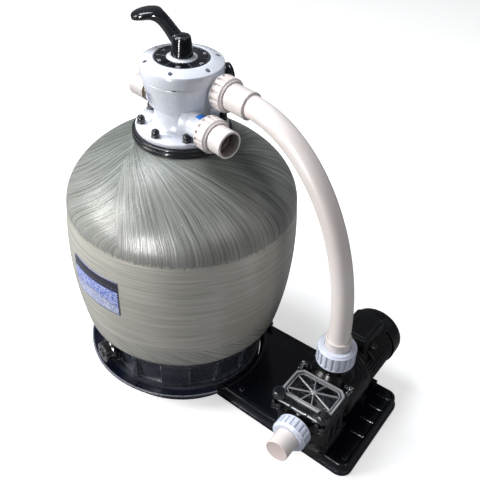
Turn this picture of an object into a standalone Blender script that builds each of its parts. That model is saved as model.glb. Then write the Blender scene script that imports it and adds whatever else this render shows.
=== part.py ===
"""Top-mount sand filter set: fibreglass tank on a moulded stand, six-way valve,
flexible hose and pool pump on a side plate.

Units are metres, +Z up. The origin is on the floor, on the tank's axis.
+X runs along the side plate to the pump, +Y to the motor side; -Y is the front.
Run with: blender --background --python part.py
"""

import math

import bmesh
import bpy
from mathutils import Matrix, Quaternion, Vector

for old in list(bpy.data.objects):
    bpy.data.objects.remove(old, do_unlink=True)


# ------------------------------------------------------------------ directions
def heading(degrees):
    """Level unit vector, measured from +X towards +Y."""
    angle = math.radians(degrees)
    return Vector((math.cos(angle), math.sin(angle), 0.0))


def along(direction):
    """Rotation that lays a piece's own Z axis along a direction."""
    return Vector(direction).to_track_quat("Z", "Y")


def about_z(degrees):
    return Quaternion((0, 0, 1), math.radians(degrees))


# ------------------------------------------------------------------ dimensions
# tank shell, outer surface
TANK_R = 0.2645         # widest radius
Z_WIDEST = 0.380
BARREL_CURVE = 0.566    # how fast the barrel narrows away from the widest ring
Z_SEAM = 0.474          # dome starts here
DOME_H = 0.200
Z_BAND = 0.170          # bottom head starts here
BOTTOM_H = 0.115
SHELL_T = 0.006
Z_SHELF = 0.6325        # top of the dome, foot of the collar
COLLAR_R = 0.0755
Z_COLLAR = 0.6500

# stand and side plate
CUP_R, CUP_Z = 0.208, 0.134
FOOT_R = 0.202
LEDGE_R, LEDGE_Z = 0.2370, 0.0535   # dished ledge round the stand
LEDGE_GAP = (-31.0, 40.0)           # no ledge where the side plate joins, degrees
LEDGE_GAP_R = (0.1975, 0.2700)      # inner and outer radius of that cut
BASE_WEB_T = 0.005                  # floor of the stand
PLATE_TOP = 0.034
PLATE_START_X = 0.120
PLATE_END_X = 0.555
PLATE_FRONT = (-0.090, -0.116)      # front edge at the stand and at the pump end
PLATE_BACK = 0.160
PLATE_CORNER = 0.028

# valve
RING_R = 0.107
FLANGE_R, FLANGE_Z0, FLANGE_Z1 = 0.099, 0.6505, 0.6610
NECK_R = 0.059
BOWL_R, BOWL_TOP = 0.0835, 0.7715
ROTOR_R = 0.0640
LID_R, LID_Z0 = 0.0862, 0.7725
LID_CREASE_Z, LID_TOP_Z = 0.7990, 0.8045
INDEX_PLATE_R = 0.0570
INDEX_PLATE_GAP = 0.0003    # clearance between the lid and the index plate
BOLT_CIRCLE_R = 0.0865
BOLTS = 8
LID_SCREWS = 6
LID_SCREW_CIRCLE_R = 0.0745
SCREW_HOLE_R = 0.0042
PIN_Z = 0.830               # handle pin height
PIN_HOLE_R = 0.0043
HANDLE_HEADING = 180.0      # degrees from +X

# pipe unions
THREAD_R = 0.0315
RETURN_SHANK_R = 0.0222
WASTE_R = 0.0240            # waste stub and its sight glass
WASTE_BORE_R = 0.0180
TAIL_R = 0.0288
TAIL_BORE_R = 0.0190
NUT_LIP_R = 0.0294
SOCKET_R = 0.0243
HOSE_R = 0.0237
HOSE_T = 0.0035

# pump
PUMP_X = 0.440
SUCTION_Z = 0.148
SHAFT_Z = 0.140
DISCHARGE_Y = -0.015
POT_Y = -0.101              # middle of the strainer pot
LID_HINGE = (PUMP_X, -0.044, 0.2035)
LID_MID = (-0.107, 0.1970)  # y and z of the strainer lid's middle
KNOB_X = (0.386, 0.494)
KNOB_Y = -0.154
HINGE_LUG_OFFSET = 0.052    # either side of the pump's middle
MOTOR_R = 0.064

# hose: how far the sweep is pulled along its two straight ends
HOSE_PULL_TOP = 0.150
HOSE_PULL_FOOT = 0.260

# axes that rows of coaxial pieces share; their heights are measured from "at"
INLET = dict(at=(0.050, 0.0173, 0.757), direction=heading(-10.0))
RETURN = dict(at=(0.0452, -0.0336, 0.692), direction=heading(-12.0))
WASTE = dict(at=(0.0, -0.012, 0.7055), direction=heading(172.0))
GAUGE = dict(at=(-0.0008, -0.0014, 0.7500), direction=heading(60.0))
DRAIN = dict(at=(0.0, 0.0, 0.088), direction=heading(-109.0))
PIN = dict(at=(0, 0, PIN_Z), direction=(0, 1, 0))
SHAFT = dict(at=(PUMP_X, 0.0, SHAFT_Z), direction=(0, 1, 0))
SUCTION = dict(at=(PUMP_X, -0.140, SUCTION_Z), direction=(0, -1, 0))
DISCHARGE = dict(at=(PUMP_X, DISCHARGE_Y, 0.0), direction=(0, 0, 1))

PART = bpy.data.collections.new("sand_filter_tank")
HELPERS = bpy.data.collections.new("cutters")
for group in (PART, HELPERS):
    bpy.context.scene.collection.children.link(group)

# ------------------------------------------------------------------- materials
# finish: (base colour, roughness)
FINISHES = {
    "fibreglass": ((0.43, 0.44, 0.40), 0.38),
    "black": ((0.012, 0.013, 0.018), 0.25),
    "white": ((0.80, 0.83, 0.90), 0.30),
    "pvc": ((0.86, 0.80, 0.79), 0.35),
    "hose": ((0.87, 0.80, 0.78), 0.42),
    "grey": ((0.30, 0.31, 0.33), 0.45),
    "rubber": ((0.02, 0.02, 0.02), 0.75),
    "label": ((0.45, 0.55, 0.80), 0.40),
    "clear": ((0.55, 0.58, 0.62), 0.06),
    "amber": ((0.32, 0.24, 0.16), 0.10),
    "steel": ((0.62, 0.62, 0.63), 0.28),
    "motor": ((0.015, 0.016, 0.019), 0.35),
}
METALS = ("steel",)
SEE_THROUGH = ("clear", "amber")
SEE_THROUGH_ALPHA = 0.4


def make_material(name, finish):
    colour, roughness = FINISHES[finish]
    material = bpy.data.materials.new(name)
    material.use_nodes = True
    inputs = material.node_tree.nodes["Principled BSDF"].inputs
    inputs["Base Color"].default_value = (*colour, 1.0)
    inputs["Roughness"].default_value = roughness
    inputs["Metallic"].default_value = 1.0 if finish in METALS else 0.0
    inputs["Alpha"].default_value = SEE_THROUGH_ALPHA if finish in SEE_THROUGH else 1.0
    return material


# --------------------------------------------------------------------- helpers
def place(name, mesh, finish=None, at=(0, 0, 0), turn=None):
    """One object from a mesh. Without a finish it is a helper: a cutter, or a
    shape joined into another piece. A piece's material carries its name."""
    obj = bpy.data.objects.new(name, mesh)
    obj.location = at
    if turn is not None:
        obj.rotation_mode = "QUATERNION"
        obj.rotation_quaternion = turn
    if finish is None:
        obj.hide_render = True
        obj.display_type = "WIRE"
        HELPERS.objects.link(obj)
    else:
        mesh.materials.append(make_material(name, finish))
        PART.objects.link(obj)
    return obj


def finished_mesh(name, shape):
    mesh = bpy.data.meshes.new(name)
    shape.to_mesh(mesh)
    shape.free()
    return mesh


def turned(name, profile, finish=None, at=(0, 0, 0), direction=(0, 0, 1), steps=16, closed=True):
    """A turned piece. The profile holds (radius, height along the axis), down the
    outer side first. closed adds the edge from its last point to its first."""
    sketch = bmesh.new()
    points = [sketch.verts.new((radius, 0.0, height)) for radius, height in profile]
    for start, end in zip(points, points[1:]):
        sketch.edges.new((start, end))
    if closed:
        sketch.edges.new((points[-1], points[0]))
    obj = place(name, finished_mesh(name, sketch), finish, at, along(direction))
    screw = obj.modifiers.new("Turn", "SCREW")
    screw.axis = "Z"
    screw.angle = 2 * math.pi
    screw.steps = screw.render_steps = steps
    screw.use_merge_vertices = True
    screw.merge_threshold = 0.00001
    return obj


def rod(name, radius, low, high, finish=None, at=(0, 0, 0), direction=(0, 0, 1), steps=16):
    """A plain cylinder between two heights along its axis."""
    shape = bmesh.new()
    bmesh.ops.create_cone(
        shape, cap_ends=True, cap_tris=False, segments=steps,
        radius1=radius, radius2=radius, depth=high - low,
        matrix=Matrix.Translation((0, 0, (low + high) / 2)),
    )
    return place(name, finished_mesh(name, shape), finish, at, along(direction))


def block(name, size, centre, finish=None, at=(0, 0, 0), turn=None, bevel=0.0, segments=1):
    """A box, bevelled if asked. centre is relative to at."""
    shape = bmesh.new()
    matrix = Matrix.Translation(centre) @ Matrix.Diagonal((*size, 1.0))
    bmesh.ops.create_cube(shape, size=1.0, matrix=matrix)
    obj = place(name, finished_mesh(name, shape), finish, at, turn)
    if bevel:
        edge = obj.modifiers.new("Edge", "BEVEL")
        edge.width = bevel
        edge.segments = segments
        edge.limit_method = "ANGLE"
    return obj


def ellipsoid(name, semi_axes, centre, tilt, at):
    shape = bmesh.new()
    matrix = Matrix.Translation(centre) @ tilt.to_matrix().to_4x4()
    bmesh.ops.create_uvsphere(shape, u_segments=12, v_segments=6, radius=1.0,
                              matrix=matrix @ Matrix.Diagonal((*semi_axes, 1.0)))
    return place(name, finished_mesh(name, shape), at=at)


def curve_to_mesh(name, data, at=(0, 0, 0)):
    """The evaluated curve as a welded mesh; the curve itself is removed."""
    curve = bpy.data.objects.new(name, data)
    curve.location = at
    bpy.context.scene.collection.objects.link(curve)
    bpy.context.view_layer.update()
    graph = bpy.context.evaluated_depsgraph_get()
    mesh = bpy.data.meshes.new_from_object(curve.evaluated_get(graph))
    mesh.name = name
    world = curve.matrix_world.copy()
    bpy.data.objects.remove(curve)
    bpy.data.curves.remove(data)
    shape = bmesh.new()
    shape.from_mesh(mesh)
    bmesh.ops.remove_doubles(shape, verts=shape.verts, dist=0.00001)
    bmesh.ops.transform(shape, matrix=world, verts=shape.verts)
    shape.to_mesh(mesh)
    shape.free()
    mesh.materials.clear()
    return mesh


def tube_mesh(name, points, radius, scales=None, resolution=2, capped=True):
    """A round bar along a line of points. scales multiply the radius at each point."""
    data = bpy.data.curves.new(name, "CURVE")
    data.dimensions = "3D"
    data.bevel_depth = radius
    data.bevel_resolution = resolution
    data.use_fill_caps = capped
    line = data.splines.new("POLY")
    line.points.add(len(points) - 1)
    for i, point in enumerate(points):
        line.points[i].co = (*point, 1.0)
        line.points[i].radius = scales[i] if scales else 1.0
    return curve_to_mesh(name, data)


def outline_mesh(name, corners, low, high):
    """A flat outline, given a thickness, standing between two heights."""
    data = bpy.data.curves.new(name, "CURVE")
    data.dimensions = "2D"
    data.fill_mode = "BOTH"
    data.extrude = (high - low) / 2
    line = data.splines.new("POLY")
    line.points.add(len(corners) - 1)
    for i, (x, y) in enumerate(corners):
        line.points[i].co = (x, y, 0.0, 1.0)
    line.use_cyclic_u = True
    return curve_to_mesh(name, data, at=(0, 0, (low + high) / 2))


def combine(obj, others, operation):
    for other in others:
        step = obj.modifiers.new(operation.title(), "BOOLEAN")
        step.operation = operation
        step.solver = "EXACT"
        step.object = other


def cut(obj, *others):
    combine(obj, others, "DIFFERENCE")


def join(obj, *others):
    combine(obj, others, "UNION")


# ------------------------------------------------------------------ tank shell
def barrel_radius(z):
    return TANK_R - BARREL_CURVE * (Z_WIDEST - z) ** 2


def dome_radius(z):
    rise = (z - Z_SEAM) / DOME_H
    return barrel_radius(Z_SEAM) * (1.0 - rise * rise) ** 0.9


def bottom_radius(z):
    drop = min(1.0, (Z_BAND - z) / BOTTOM_H)
    return barrel_radius(Z_BAND) * (1.0 - drop ** 1.5) ** (1 / 1.2)


def shell_profile():
    """Collar, dome, barrel and bottom head, from the top down."""
    points = [(COLLAR_R, Z_COLLAR), (COLLAR_R, Z_SHELF)]
    for i in range(7):
        z = Z_SHELF - (Z_SHELF - Z_SEAM) * i / 7
        points.append((dome_radius(z), z))
    for i in range(4):
        z = Z_SEAM - (Z_SEAM - Z_BAND) * i / 4
        points.append((barrel_radius(z), z))
    for i in range(5):
        z = Z_BAND - BOTTOM_H * (1 - (1 - i / 5) ** 1.6)
        points.append((bottom_radius(z), z))
    points.append((0.0, Z_BAND - BOTTOM_H))
    return points


tank_shell = turned("tank_shell", shell_profile(), "fibreglass", steps=24, closed=False)
wall = tank_shell.modifiers.new("Wall", "SOLIDIFY")
wall.thickness = SHELL_T
wall.offset = -1.0
wall.use_even_offset = True
cut(tank_shell, rod("shell_drain_hole", 0.0144, 0.070, 0.165, **DRAIN))

# ----------------------------------------------------------------------- stand
stand = turned("tank_stand", [
    (CUP_R, CUP_Z), (0.2065, 0.118), (0.1970, 0.104), (0.1930, 0.0500), (0.2130, 0.0462),
    (LEDGE_R - 0.0035, LEDGE_Z), (LEDGE_R, LEDGE_Z - 0.0010),
    (LEDGE_R, LEDGE_Z - 0.0050), (LEDGE_R - 0.0040, LEDGE_Z - 0.0075),
    (FOOT_R, 0.0365), (FOOT_R, 0.0), (0.0, 0.0), (0.0, BASE_WEB_T),
    (0.1800, BASE_WEB_T), (0.1845, 0.098), (0.1985, 0.120), (0.2053, CUP_Z),
], "black", steps=24)


def arc(radius, angles):
    return [(radius * math.cos(angle), radius * math.sin(angle)) for angle in angles]


def ledge_gap_outline():
    first, last = LEDGE_GAP
    angles = [math.radians(first + (last - first) * i / 8) for i in range(9)]
    inner, outer = LEDGE_GAP_R
    return arc(inner, angles) + arc(outer, reversed(angles))


cut(
    stand,
    place("ledge_gap", outline_mesh("ledge_gap", ledge_gap_outline(), 0.0362, 0.0700)),
    rod("stand_drain_hole", 0.0175, 0.165, 0.230, **DRAIN),
)


# ------------------------------------------------------------------ side plate
def plate_outline():
    """Straight front and back edges, with two rounded corners at the pump end."""
    corners = [
        (PLATE_START_X, PLATE_FRONT[0]), (PLATE_END_X, PLATE_FRONT[1]),
        (PLATE_END_X, PLATE_BACK), (PLATE_START_X, PLATE_BACK + 0.006),
    ]
    points = [corners[0]]
    for before, here, after in (corners[0:3], corners[1:4]):
        to_before = (Vector(before) - Vector(here)).normalized()
        to_after = (Vector(after) - Vector(here)).normalized()
        inward = (to_before + to_after).normalized()
        centre = Vector(here) + inward * PLATE_CORNER * math.sqrt(2)
        for i in range(7):
            angle = i / 6 * math.pi / 2
            spoke = (-to_after * math.cos(angle) + -to_before * math.sin(angle)).normalized()
            points.append(tuple(centre + spoke * PLATE_CORNER))
    points.append(corners[3])
    return points


pump_base = place("pump_base", outline_mesh("pump_base", plate_outline(), 0.0, PLATE_TOP), "black")
cut(pump_base, rod("plate_round_end", FOOT_R + 0.0008, -0.01, 0.06, steps=64))

# ------------------------------------------------------- ring under the flange
neck_ring = turned("neck_ring", [
    (RING_R - 0.002, 0.6500), (RING_R, 0.6480), (RING_R, 0.6350), (RING_R - 0.002, 0.6330),
    (COLLAR_R + 0.0005, 0.6330), (COLLAR_R + 0.0005, 0.6500),
], "black", steps=24)

bolt_angles = [2 * math.pi * i / BOLTS for i in range(BOLTS)]
bolt_spots = [Vector((x, y, 0.0)) for x, y in arc(BOLT_CIRCLE_R, bolt_angles)]
for i, spot in enumerate(bolt_spots):
    cut(neck_ring, rod(f"ring_hole_{i}", SCREW_HOLE_R, 0.6370, 0.6600, at=spot, steps=8))

# ----------------------------------------------------------------------- label
LABEL_HEADING, LABEL_SPAN = -97.5, 31.0     # degrees
LABEL_Z, LABEL_H = 0.3590, 0.0930
LABEL_LIFT = 0.0012                         # off the barrel's surface


def label_mesh():
    """A patch that follows the barrel's surface."""
    sheet = bmesh.new()
    bmesh.ops.create_grid(sheet, x_segments=8, y_segments=3, size=0.5)
    for vert in sheet.verts:
        angle = math.radians(LABEL_HEADING + LABEL_SPAN * vert.co.x)
        z = LABEL_Z + LABEL_H * vert.co.y
        radius = barrel_radius(z) + LABEL_LIFT
        vert.co = (radius * math.cos(angle), radius * math.sin(angle), z)
    bmesh.ops.recalc_face_normals(sheet, faces=sheet.faces)
    level = Vector((1, 1, 0))
    # the film thickens outwards only if the normals point away from the axis
    if sum(face.normal.dot(face.calc_center_median() * level) for face in sheet.faces) < 0:
        bmesh.ops.reverse_faces(sheet, faces=sheet.faces)
    return finished_mesh("data_label", sheet)


data_label = place("data_label", label_mesh(), "label")
film = data_label.modifiers.new("Film", "SOLIDIFY")
film.thickness = 0.0008
film.offset = 1.0

# ----------------------------------------------------------------------- drain
turned("drain_fitting", [
    (0.0140, 0.2290), (0.0140, 0.2096), (0.0200, 0.2096), (0.0200, 0.2050),
    (0.0140, 0.2050), (0.0140, 0.0960), (0.0095, 0.0960), (0.0095, 0.2290),
], "black", **DRAIN)
drain_cap = rod("drain_cap", 0.0270, 0.2100, 0.2390, "black", **DRAIN, steps=6)
cut(drain_cap, rod("cap_thread", 0.0145, 0.2000, 0.2300, **DRAIN))

# -------------------------------------------------- under-drain inside the tank
LATERALS = 6
LATERAL_Z = 0.1262

turned("standpipe", [(0.0240, 0.7150), (0.0240, 0.1370), (0.0210, 0.1370), (0.0210, 0.7150)], "pvc")
lateral_hub = turned("lateral_hub", [
    (0.0300, 0.1650), (0.0400, 0.1450), (0.0400, 0.1120), (0.0370, 0.1100), (0.0, 0.1100),
    (0.0, 0.1160), (0.0190, 0.1160), (0.0190, 0.1365), (0.0248, 0.1365), (0.0248, 0.1650),
], "grey")
turned("top_diffuser", [
    (0.0500, 0.6400), (0.0520, 0.6370), (0.0520, 0.5930), (0.0500, 0.5900),
    (0.0247, 0.5900), (0.0247, 0.5930), (0.0490, 0.5930), (0.0490, 0.6400),
], "grey")
for i in range(LATERALS):
    branch = dict(at=(0, 0, LATERAL_Z), direction=heading(30.0 + 360.0 / LATERALS * i))
    cut(lateral_hub, rod(f"hub_hole_{i}", 0.0092, 0.0120, 0.0600, **branch, steps=10))
    turned(f"lateral_{i + 1}", [
        (0.0, 0.1520), (0.0060, 0.1515), (0.0085, 0.1490), (0.0085, 0.0215),
        (0.0062, 0.0215), (0.0062, 0.1460), (0.0, 0.1460),
    ], "grey", **branch, steps=10)

# ------------------------------------------------------------------ valve body
# outside from the rim down to the flange, then the neck, centre sleeve and bowl inside
valve_body = turned("valve_body", [
    (BOWL_R - 0.001, BOWL_TOP), (BOWL_R, BOWL_TOP - 0.001), (0.0815, 0.7600), (0.0690, 0.7110),
    (0.0680, 0.7095), (NECK_R, 0.7075), (NECK_R, 0.6700), (0.0680, FLANGE_Z1),
    (FLANGE_R - 0.002, FLANGE_Z1), (FLANGE_R, FLANGE_Z1 - 0.002), (FLANGE_R, FLANGE_Z0),
    (0.0530, FLANGE_Z0), (0.0530, 0.7120), (0.0490, 0.7160), (0.0285, 0.7160),
    (0.0285, 0.6680), (0.0244, 0.6680), (0.0244, 0.7310),
    (0.0660, 0.7310), (0.0660, 0.7480), (0.0740, 0.7600), (0.0740, BOWL_TOP),
], "white", steps=24)

inlet_boss = turned("inlet_boss", [
    (0.0, 0.062), (THREAD_R, 0.062), (THREAD_R, 0.047),
    (0.0230, 0.047), (0.0230, 0.012), (0.0, 0.012),
], **INLET, closed=False)
return_boss = turned("return_boss", [
    (0.0, 0.074), (THREAD_R, 0.074), (THREAD_R, 0.060),
    (RETURN_SHANK_R, 0.060), (RETURN_SHANK_R, -0.012), (0.0, -0.012),
], **RETURN, closed=False)
waste_boss = turned("waste_boss", [
    (0.0, 0.0756), (WASTE_R, 0.0756), (WASTE_R, 0.0716),
    (0.0215, 0.0700), (0.0215, 0.0400), (0.0, 0.0400),
], **WASTE, closed=False)

# trim the bosses so they stay out of the bowl, the lid and the neck
neck_clear = rod("neck_clear", 0.0565, 0.6000, 0.7800, steps=24)
cut(
    inlet_boss,
    rod("bowl_clear", 0.0735, 0.7200, 0.8000, steps=24),
    rod("lid_clear", 0.0870, 0.7718, 0.8200, steps=24),
)
cut(return_boss, neck_clear)
cut(waste_boss, neck_clear, rod("floor_clear", 0.0690, 0.7265, 0.8000, steps=24))

join(
    valve_body, inlet_boss, return_boss, waste_boss,
    rod("gauge_boss", 0.0085, 0.0780, 0.0850, **GAUGE, steps=12),
)
cut(
    valve_body,
    rod("inlet_bore", 0.0130, 0.010, 0.080, **INLET, steps=12),
    rod("return_bore", 0.0180, -0.006, 0.100, **RETURN, steps=14),
    rod("waste_bore", WASTE_BORE_R, 0.040, 0.100, **WASTE, steps=14),
    rod("gauge_bore", 0.0030, 0.060, 0.100, **GAUGE, steps=8),
)
for i, spot in enumerate(bolt_spots):
    cut(valve_body, rod(f"flange_hole_{i}", SCREW_HOLE_R, 0.6400, 0.6700, at=spot, steps=8))
for i in range(3):
    spot = heading(60.0 + 120.0 * i) * 0.0405
    cut(valve_body, rod(f"floor_port_{i}", 0.0095, 0.7100, 0.7400, at=spot, steps=12))

# the exact solver leaves open edges where the valve's many round bores meet
for step in valve_body.modifiers:
    if step.type == "BOOLEAN":
        step.solver = "MANIFOLD"

# -------------------------------------------------- valve lid and index plate
valve_lid = turned("valve_lid", [
    (0.0093, 0.8095), (0.0225, 0.8095), (0.0235, 0.8085), (0.0235, LID_TOP_Z),
    (INDEX_PLATE_R + 0.0006, LID_TOP_Z), (INDEX_PLATE_R + 0.0006, 0.8064),
    (0.0620, 0.8068), (0.0848, LID_CREASE_Z), (LID_R, LID_CREASE_Z - 0.002),
    (LID_R, LID_Z0 + 0.001), (LID_R - 0.001, LID_Z0), (0.0785, LID_Z0),
    (0.0740, 0.7905), (0.0160, 0.7925), (0.0160, 0.7850), (0.0093, 0.7850),
], "white", steps=24)
for i in range(LID_SCREWS):
    spot = heading(-8.0 - 360.0 / LID_SCREWS * i) * LID_SCREW_CIRCLE_R
    cut(valve_lid, rod(f"lid_screw_hole_{i}", SCREW_HOLE_R, 0.7960, 0.8150, at=spot, steps=12))

turned("index_plate", [
    (INDEX_PLATE_R, 0.8066), (INDEX_PLATE_R, LID_TOP_Z + INDEX_PLATE_GAP),
    (0.0239, LID_TOP_Z + INDEX_PLATE_GAP), (0.0239, 0.8058), (0.0540, 0.8058), (0.0550, 0.8066),
], "black", steps=24)

# -------------------------------------------------- rotor, gasket and spring
rotor = turned("rotor", [
    (0.0, 0.8400), (0.0078, 0.8400), (0.0088, 0.8390), (0.0088, 0.7525),
    (0.0300, 0.7505), (ROTOR_R, 0.7470), (ROTOR_R, 0.7354), (0.0, 0.7354),
], "black", closed=False)
cut(
    rotor,
    rod("rotor_pocket", 0.0150, 0.7300, 0.7420, at=(0.0410, 0, 0)),
    rod("spindle_cross_hole", PIN_HOLE_R, -0.03, 0.03, **PIN),
)

GASKET_Z = (0.7315, 0.7346)     # underside and top


def gasket_ring(outer, inner):
    low, high = GASKET_Z
    return [(outer, high), (outer, low), (inner, low), (inner, high)]


spider_gasket = turned("spider_gasket", gasket_ring(ROTOR_R, 0.0600), "rubber")
join(spider_gasket, turned("gasket_eye", gasket_ring(0.0300, 0.0262), steps=14))
for i in range(6):
    join(spider_gasket, block(f"gasket_spoke_{i}", (0.0340, 0.0040, 0.0029),
                              (0.0450, 0, 0.73305), turn=about_z(30 + 60 * i)))

SPRING_TURNS, SPRING_R, WIRE_R = 4, 0.0126, 0.0011
SPRING_Z = (0.7542, 0.7834)     # centreline of the lowest and highest coil
SPRING_STEPS = 12               # points per turn


def spring_line():
    low, high = SPRING_Z
    points = []
    for i in range(SPRING_STEPS * SPRING_TURNS + 1):
        angle = 2 * math.pi * i / SPRING_STEPS
        z = low + (high - low) * i / (SPRING_STEPS * SPRING_TURNS)
        points.append((SPRING_R * math.cos(angle), SPRING_R * math.sin(angle), z))
    return points


place("rotor_spring", tube_mesh("rotor_spring", spring_line(), WIRE_R, resolution=0), "steel")

# ------------------------------------------------- valve handle, origin on pin
pin_at = Vector(PIN["at"])
handle_turn = about_z(HANDLE_HEADING)
ARM_R = 0.0110
# arm centreline: distance outwards, height above the pin, share of ARM_R
ARM = [
    (-0.002, 0.006, 0.9), (0.016, 0.014, 1.05), (0.034, 0.0275, 1.0),
    (0.050, 0.0390, 1.0), (0.066, 0.0440, 0.9), (0.086, 0.0410, 0.7),
]

handle = turned("handle", [
    (0.0, 0.0205), (0.0150, 0.0205), (0.0175, 0.0190), (0.0186, 0.0140),
    (0.0215, -0.0190), (0.0205, -0.0200), (0.0, -0.0200),
], "black", at=pin_at, closed=False)
arm_points = [handle_turn @ Vector((x, 0.0, z)) for x, z, _ in ARM]
arm_scales = [scale for _, _, scale in ARM]
join(
    handle,
    place("handle_arm", tube_mesh("handle_arm", arm_points, ARM_R, arm_scales), at=pin_at),
    ellipsoid(
        "handle_paddle", (0.0290, 0.0325, 0.0098), handle_turn @ Vector((0.0860, 0, 0.0385)),
        tilt=handle_turn @ Quaternion((0, 1, 0), math.radians(14)), at=pin_at,
    ),
)
cut(
    handle,
    block("handle_slot", (0.0270, 0.0186, 0.0500), (0, 0, -0.0125), at=pin_at, turn=handle_turn),
    rod("handle_cross_hole", PIN_HOLE_R, -0.04, 0.04, **PIN),
)
rod("handle_pin", 0.0040, -0.0185, 0.0185, "steel", **PIN)

# ---------------------------------------------------------------- flange bolts
for i, spot in enumerate(bolt_spots):
    turned(f"flange_bolt_{i + 1}", [
        (0.0, 0.6800), (0.0045, 0.6790), (0.0078, 0.6758), (0.0090, 0.6710),
        (0.0090, 0.6650), (0.0098, 0.6646), (0.0098, FLANGE_Z1 + 0.0004),
        (0.0038, FLANGE_Z1 + 0.0004), (0.0038, 0.6380), (0.0, 0.6380),
    ], "black", at=spot, steps=10, closed=False)


# ----------------------------------------------------------------- pipe unions
def nut(name, finish, axis, low, high, radius, lip=NUT_LIP_R, steps=16):
    """A union nut: a threaded sleeve with an inward lip at its high end."""
    return turned(name, [
        (radius - 0.0015, high), (radius, high - 0.0015), (radius, low),
        (THREAD_R + 0.0010, low), (THREAD_R + 0.0010, high - 0.006),
        (lip, high - 0.006), (lip, high),
    ], finish, **axis, steps=steps)


def tail(name, axis, face, collar, end, socket_from, radius=TAIL_R, socket=SOCKET_R):
    """A union tail: a collar from face to collar, and a socket open at its end."""
    return turned(name, [
        (radius, end), (radius, collar), (THREAD_R - 0.0003, collar), (THREAD_R - 0.0003, face),
        (TAIL_BORE_R, face), (TAIL_BORE_R, socket_from), (socket, socket_from), (socket, end),
    ], "pvc", **axis)


nut("inlet_nut", "pvc", INLET, low=0.0440, high=0.0750, radius=0.0360)
tail("inlet_tail", INLET, face=0.0624, collar=0.0682, end=0.1280, socket_from=0.0950)
nut("return_nut", "pvc", RETURN, low=0.0560, high=0.0870, radius=0.0360)
tail("return_tail", RETURN, face=0.0744, collar=0.0802, end=0.1240, socket_from=0.0960)

# ---------------------------------------------------------------- waste outlet
turned("sight_glass", [
    (WASTE_R, 0.0880), (WASTE_R, 0.0760), (WASTE_BORE_R, 0.0760), (WASTE_BORE_R, 0.0880),
], "amber", **WASTE, steps=24)
turned("waste_tail", [
    (WASTE_R, 0.1310), (WASTE_R, 0.0884), (WASTE_BORE_R, 0.0884), (WASTE_BORE_R, 0.1040),
    (0.0214, 0.1040), (0.0214, 0.1310),
], "pvc", **WASTE)

# -------------------------------------------------------------- pressure gauge
turned("gauge_case", [
    (0.0255, 0.1085), (0.0265, 0.1070), (0.0265, 0.0925), (0.0240, 0.0892), (0.0085, 0.0882),
    (0.0075, 0.0855), (0.0, 0.0855), (0.0, 0.0995), (0.0238, 0.0995), (0.0238, 0.1085),
], "black", **GAUGE, steps=24)
turned("gauge_lens", [(0.0, 0.1075), (0.0231, 0.1075), (0.0231, 0.1060), (0.0, 0.1060)],
       "clear", **GAUGE, closed=False)
gauge_needle = turned("gauge_needle", [
    (0.0, 0.1042), (0.0028, 0.1042), (0.0028, 0.1005), (0.0, 0.1005),
], "rubber", **GAUGE, steps=10, closed=False)
join(gauge_needle, block("needle_blade", (0.0014, 0.0220, 0.0008), (0.0, 0.0070, 0.1024),
                         at=GAUGE["at"], turn=along(GAUGE["direction"]) @ about_z(135)))


# ------------------------------------------------------------------------ hose
def hose_line():
    """Straight in each socket, and one smooth sweep between them."""
    start, outward = Vector(INLET["at"]), INLET["direction"]
    first, top = start + outward * 0.0965, start + outward * 0.1290
    foot = Vector((PUMP_X, DISCHARGE_Y, 0.3030))
    last = Vector((PUMP_X, DISCHARGE_Y, 0.2650))
    pull_top = top + outward * HOSE_PULL_TOP
    pull_foot = foot + Vector((0, 0, HOSE_PULL_FOOT))
    points = [first]
    for i in range(17):
        t = i / 16
        points.append(top * (1 - t) ** 3 + pull_top * 3 * t * (1 - t) ** 2
                      + pull_foot * 3 * t * t * (1 - t) + foot * t ** 3)
    points.append(last)
    return [tuple(point) for point in points]


hose = place("hose", tube_mesh("hose", hose_line(), HOSE_R, capped=False), "hose")
hose_wall = hose.modifiers.new("Wall", "SOLIDIFY")
hose_wall.thickness = HOSE_T
hose_wall.offset = -1.0

# ---------------------------------------------------------------- pump housing
pump_housing = block("pump_housing", (0.126, 0.090, 0.136), (PUMP_X, POT_Y, 0.123), "black",
                     bevel=0.008, segments=2)
join(
    pump_housing,
    rod("throat", 0.0440, -0.080, -0.0300, **SHAFT),
    rod("volute", 0.068, -0.0460, 0.0280, **SHAFT, steps=20),
    block("pot_rim", (0.132, 0.100, 0.010), (PUMP_X, -0.102, 0.1860), bevel=0.002),
    block("pump_foot", (0.104, 0.116, 0.040), (PUMP_X, -0.062, 0.0545), bevel=0.002),
    rod("suction_boss", THREAD_R, -0.010, 0.0440, **SUCTION),
    rod("discharge_boss", THREAD_R, 0.160, 0.2460, **DISCHARGE),
)
for i, x in enumerate(KNOB_X):
    join(pump_housing, block(f"knob_lug_{i}", (0.0220, 0.0220, 0.0250),
                             (x, KNOB_Y + 0.001, 0.1770)))
    cut(
        pump_housing,
        rod(f"knob_slot_{i}", 0.0040, 0.1500, 0.2000, at=(x, KNOB_Y, 0)),
        block(f"knob_slot_mouth_{i}", (0.0080, 0.0200, 0.0500), (x, KNOB_Y - 0.010, 0.1750)),
    )
for i, x in enumerate((PUMP_X - HINGE_LUG_OFFSET, PUMP_X + HINGE_LUG_OFFSET)):
    join(pump_housing, block(f"hinge_lug_{i}", (0.0100, 0.0130, 0.0330),
                             (x, LID_HINGE[1] + 0.0005, 0.1945)))
    cut(pump_housing, rod(f"hinge_hole_{i}", 0.0033, -0.020, 0.020,
                          at=(x, *LID_HINGE[1:]), direction=(1, 0, 0)))
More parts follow.
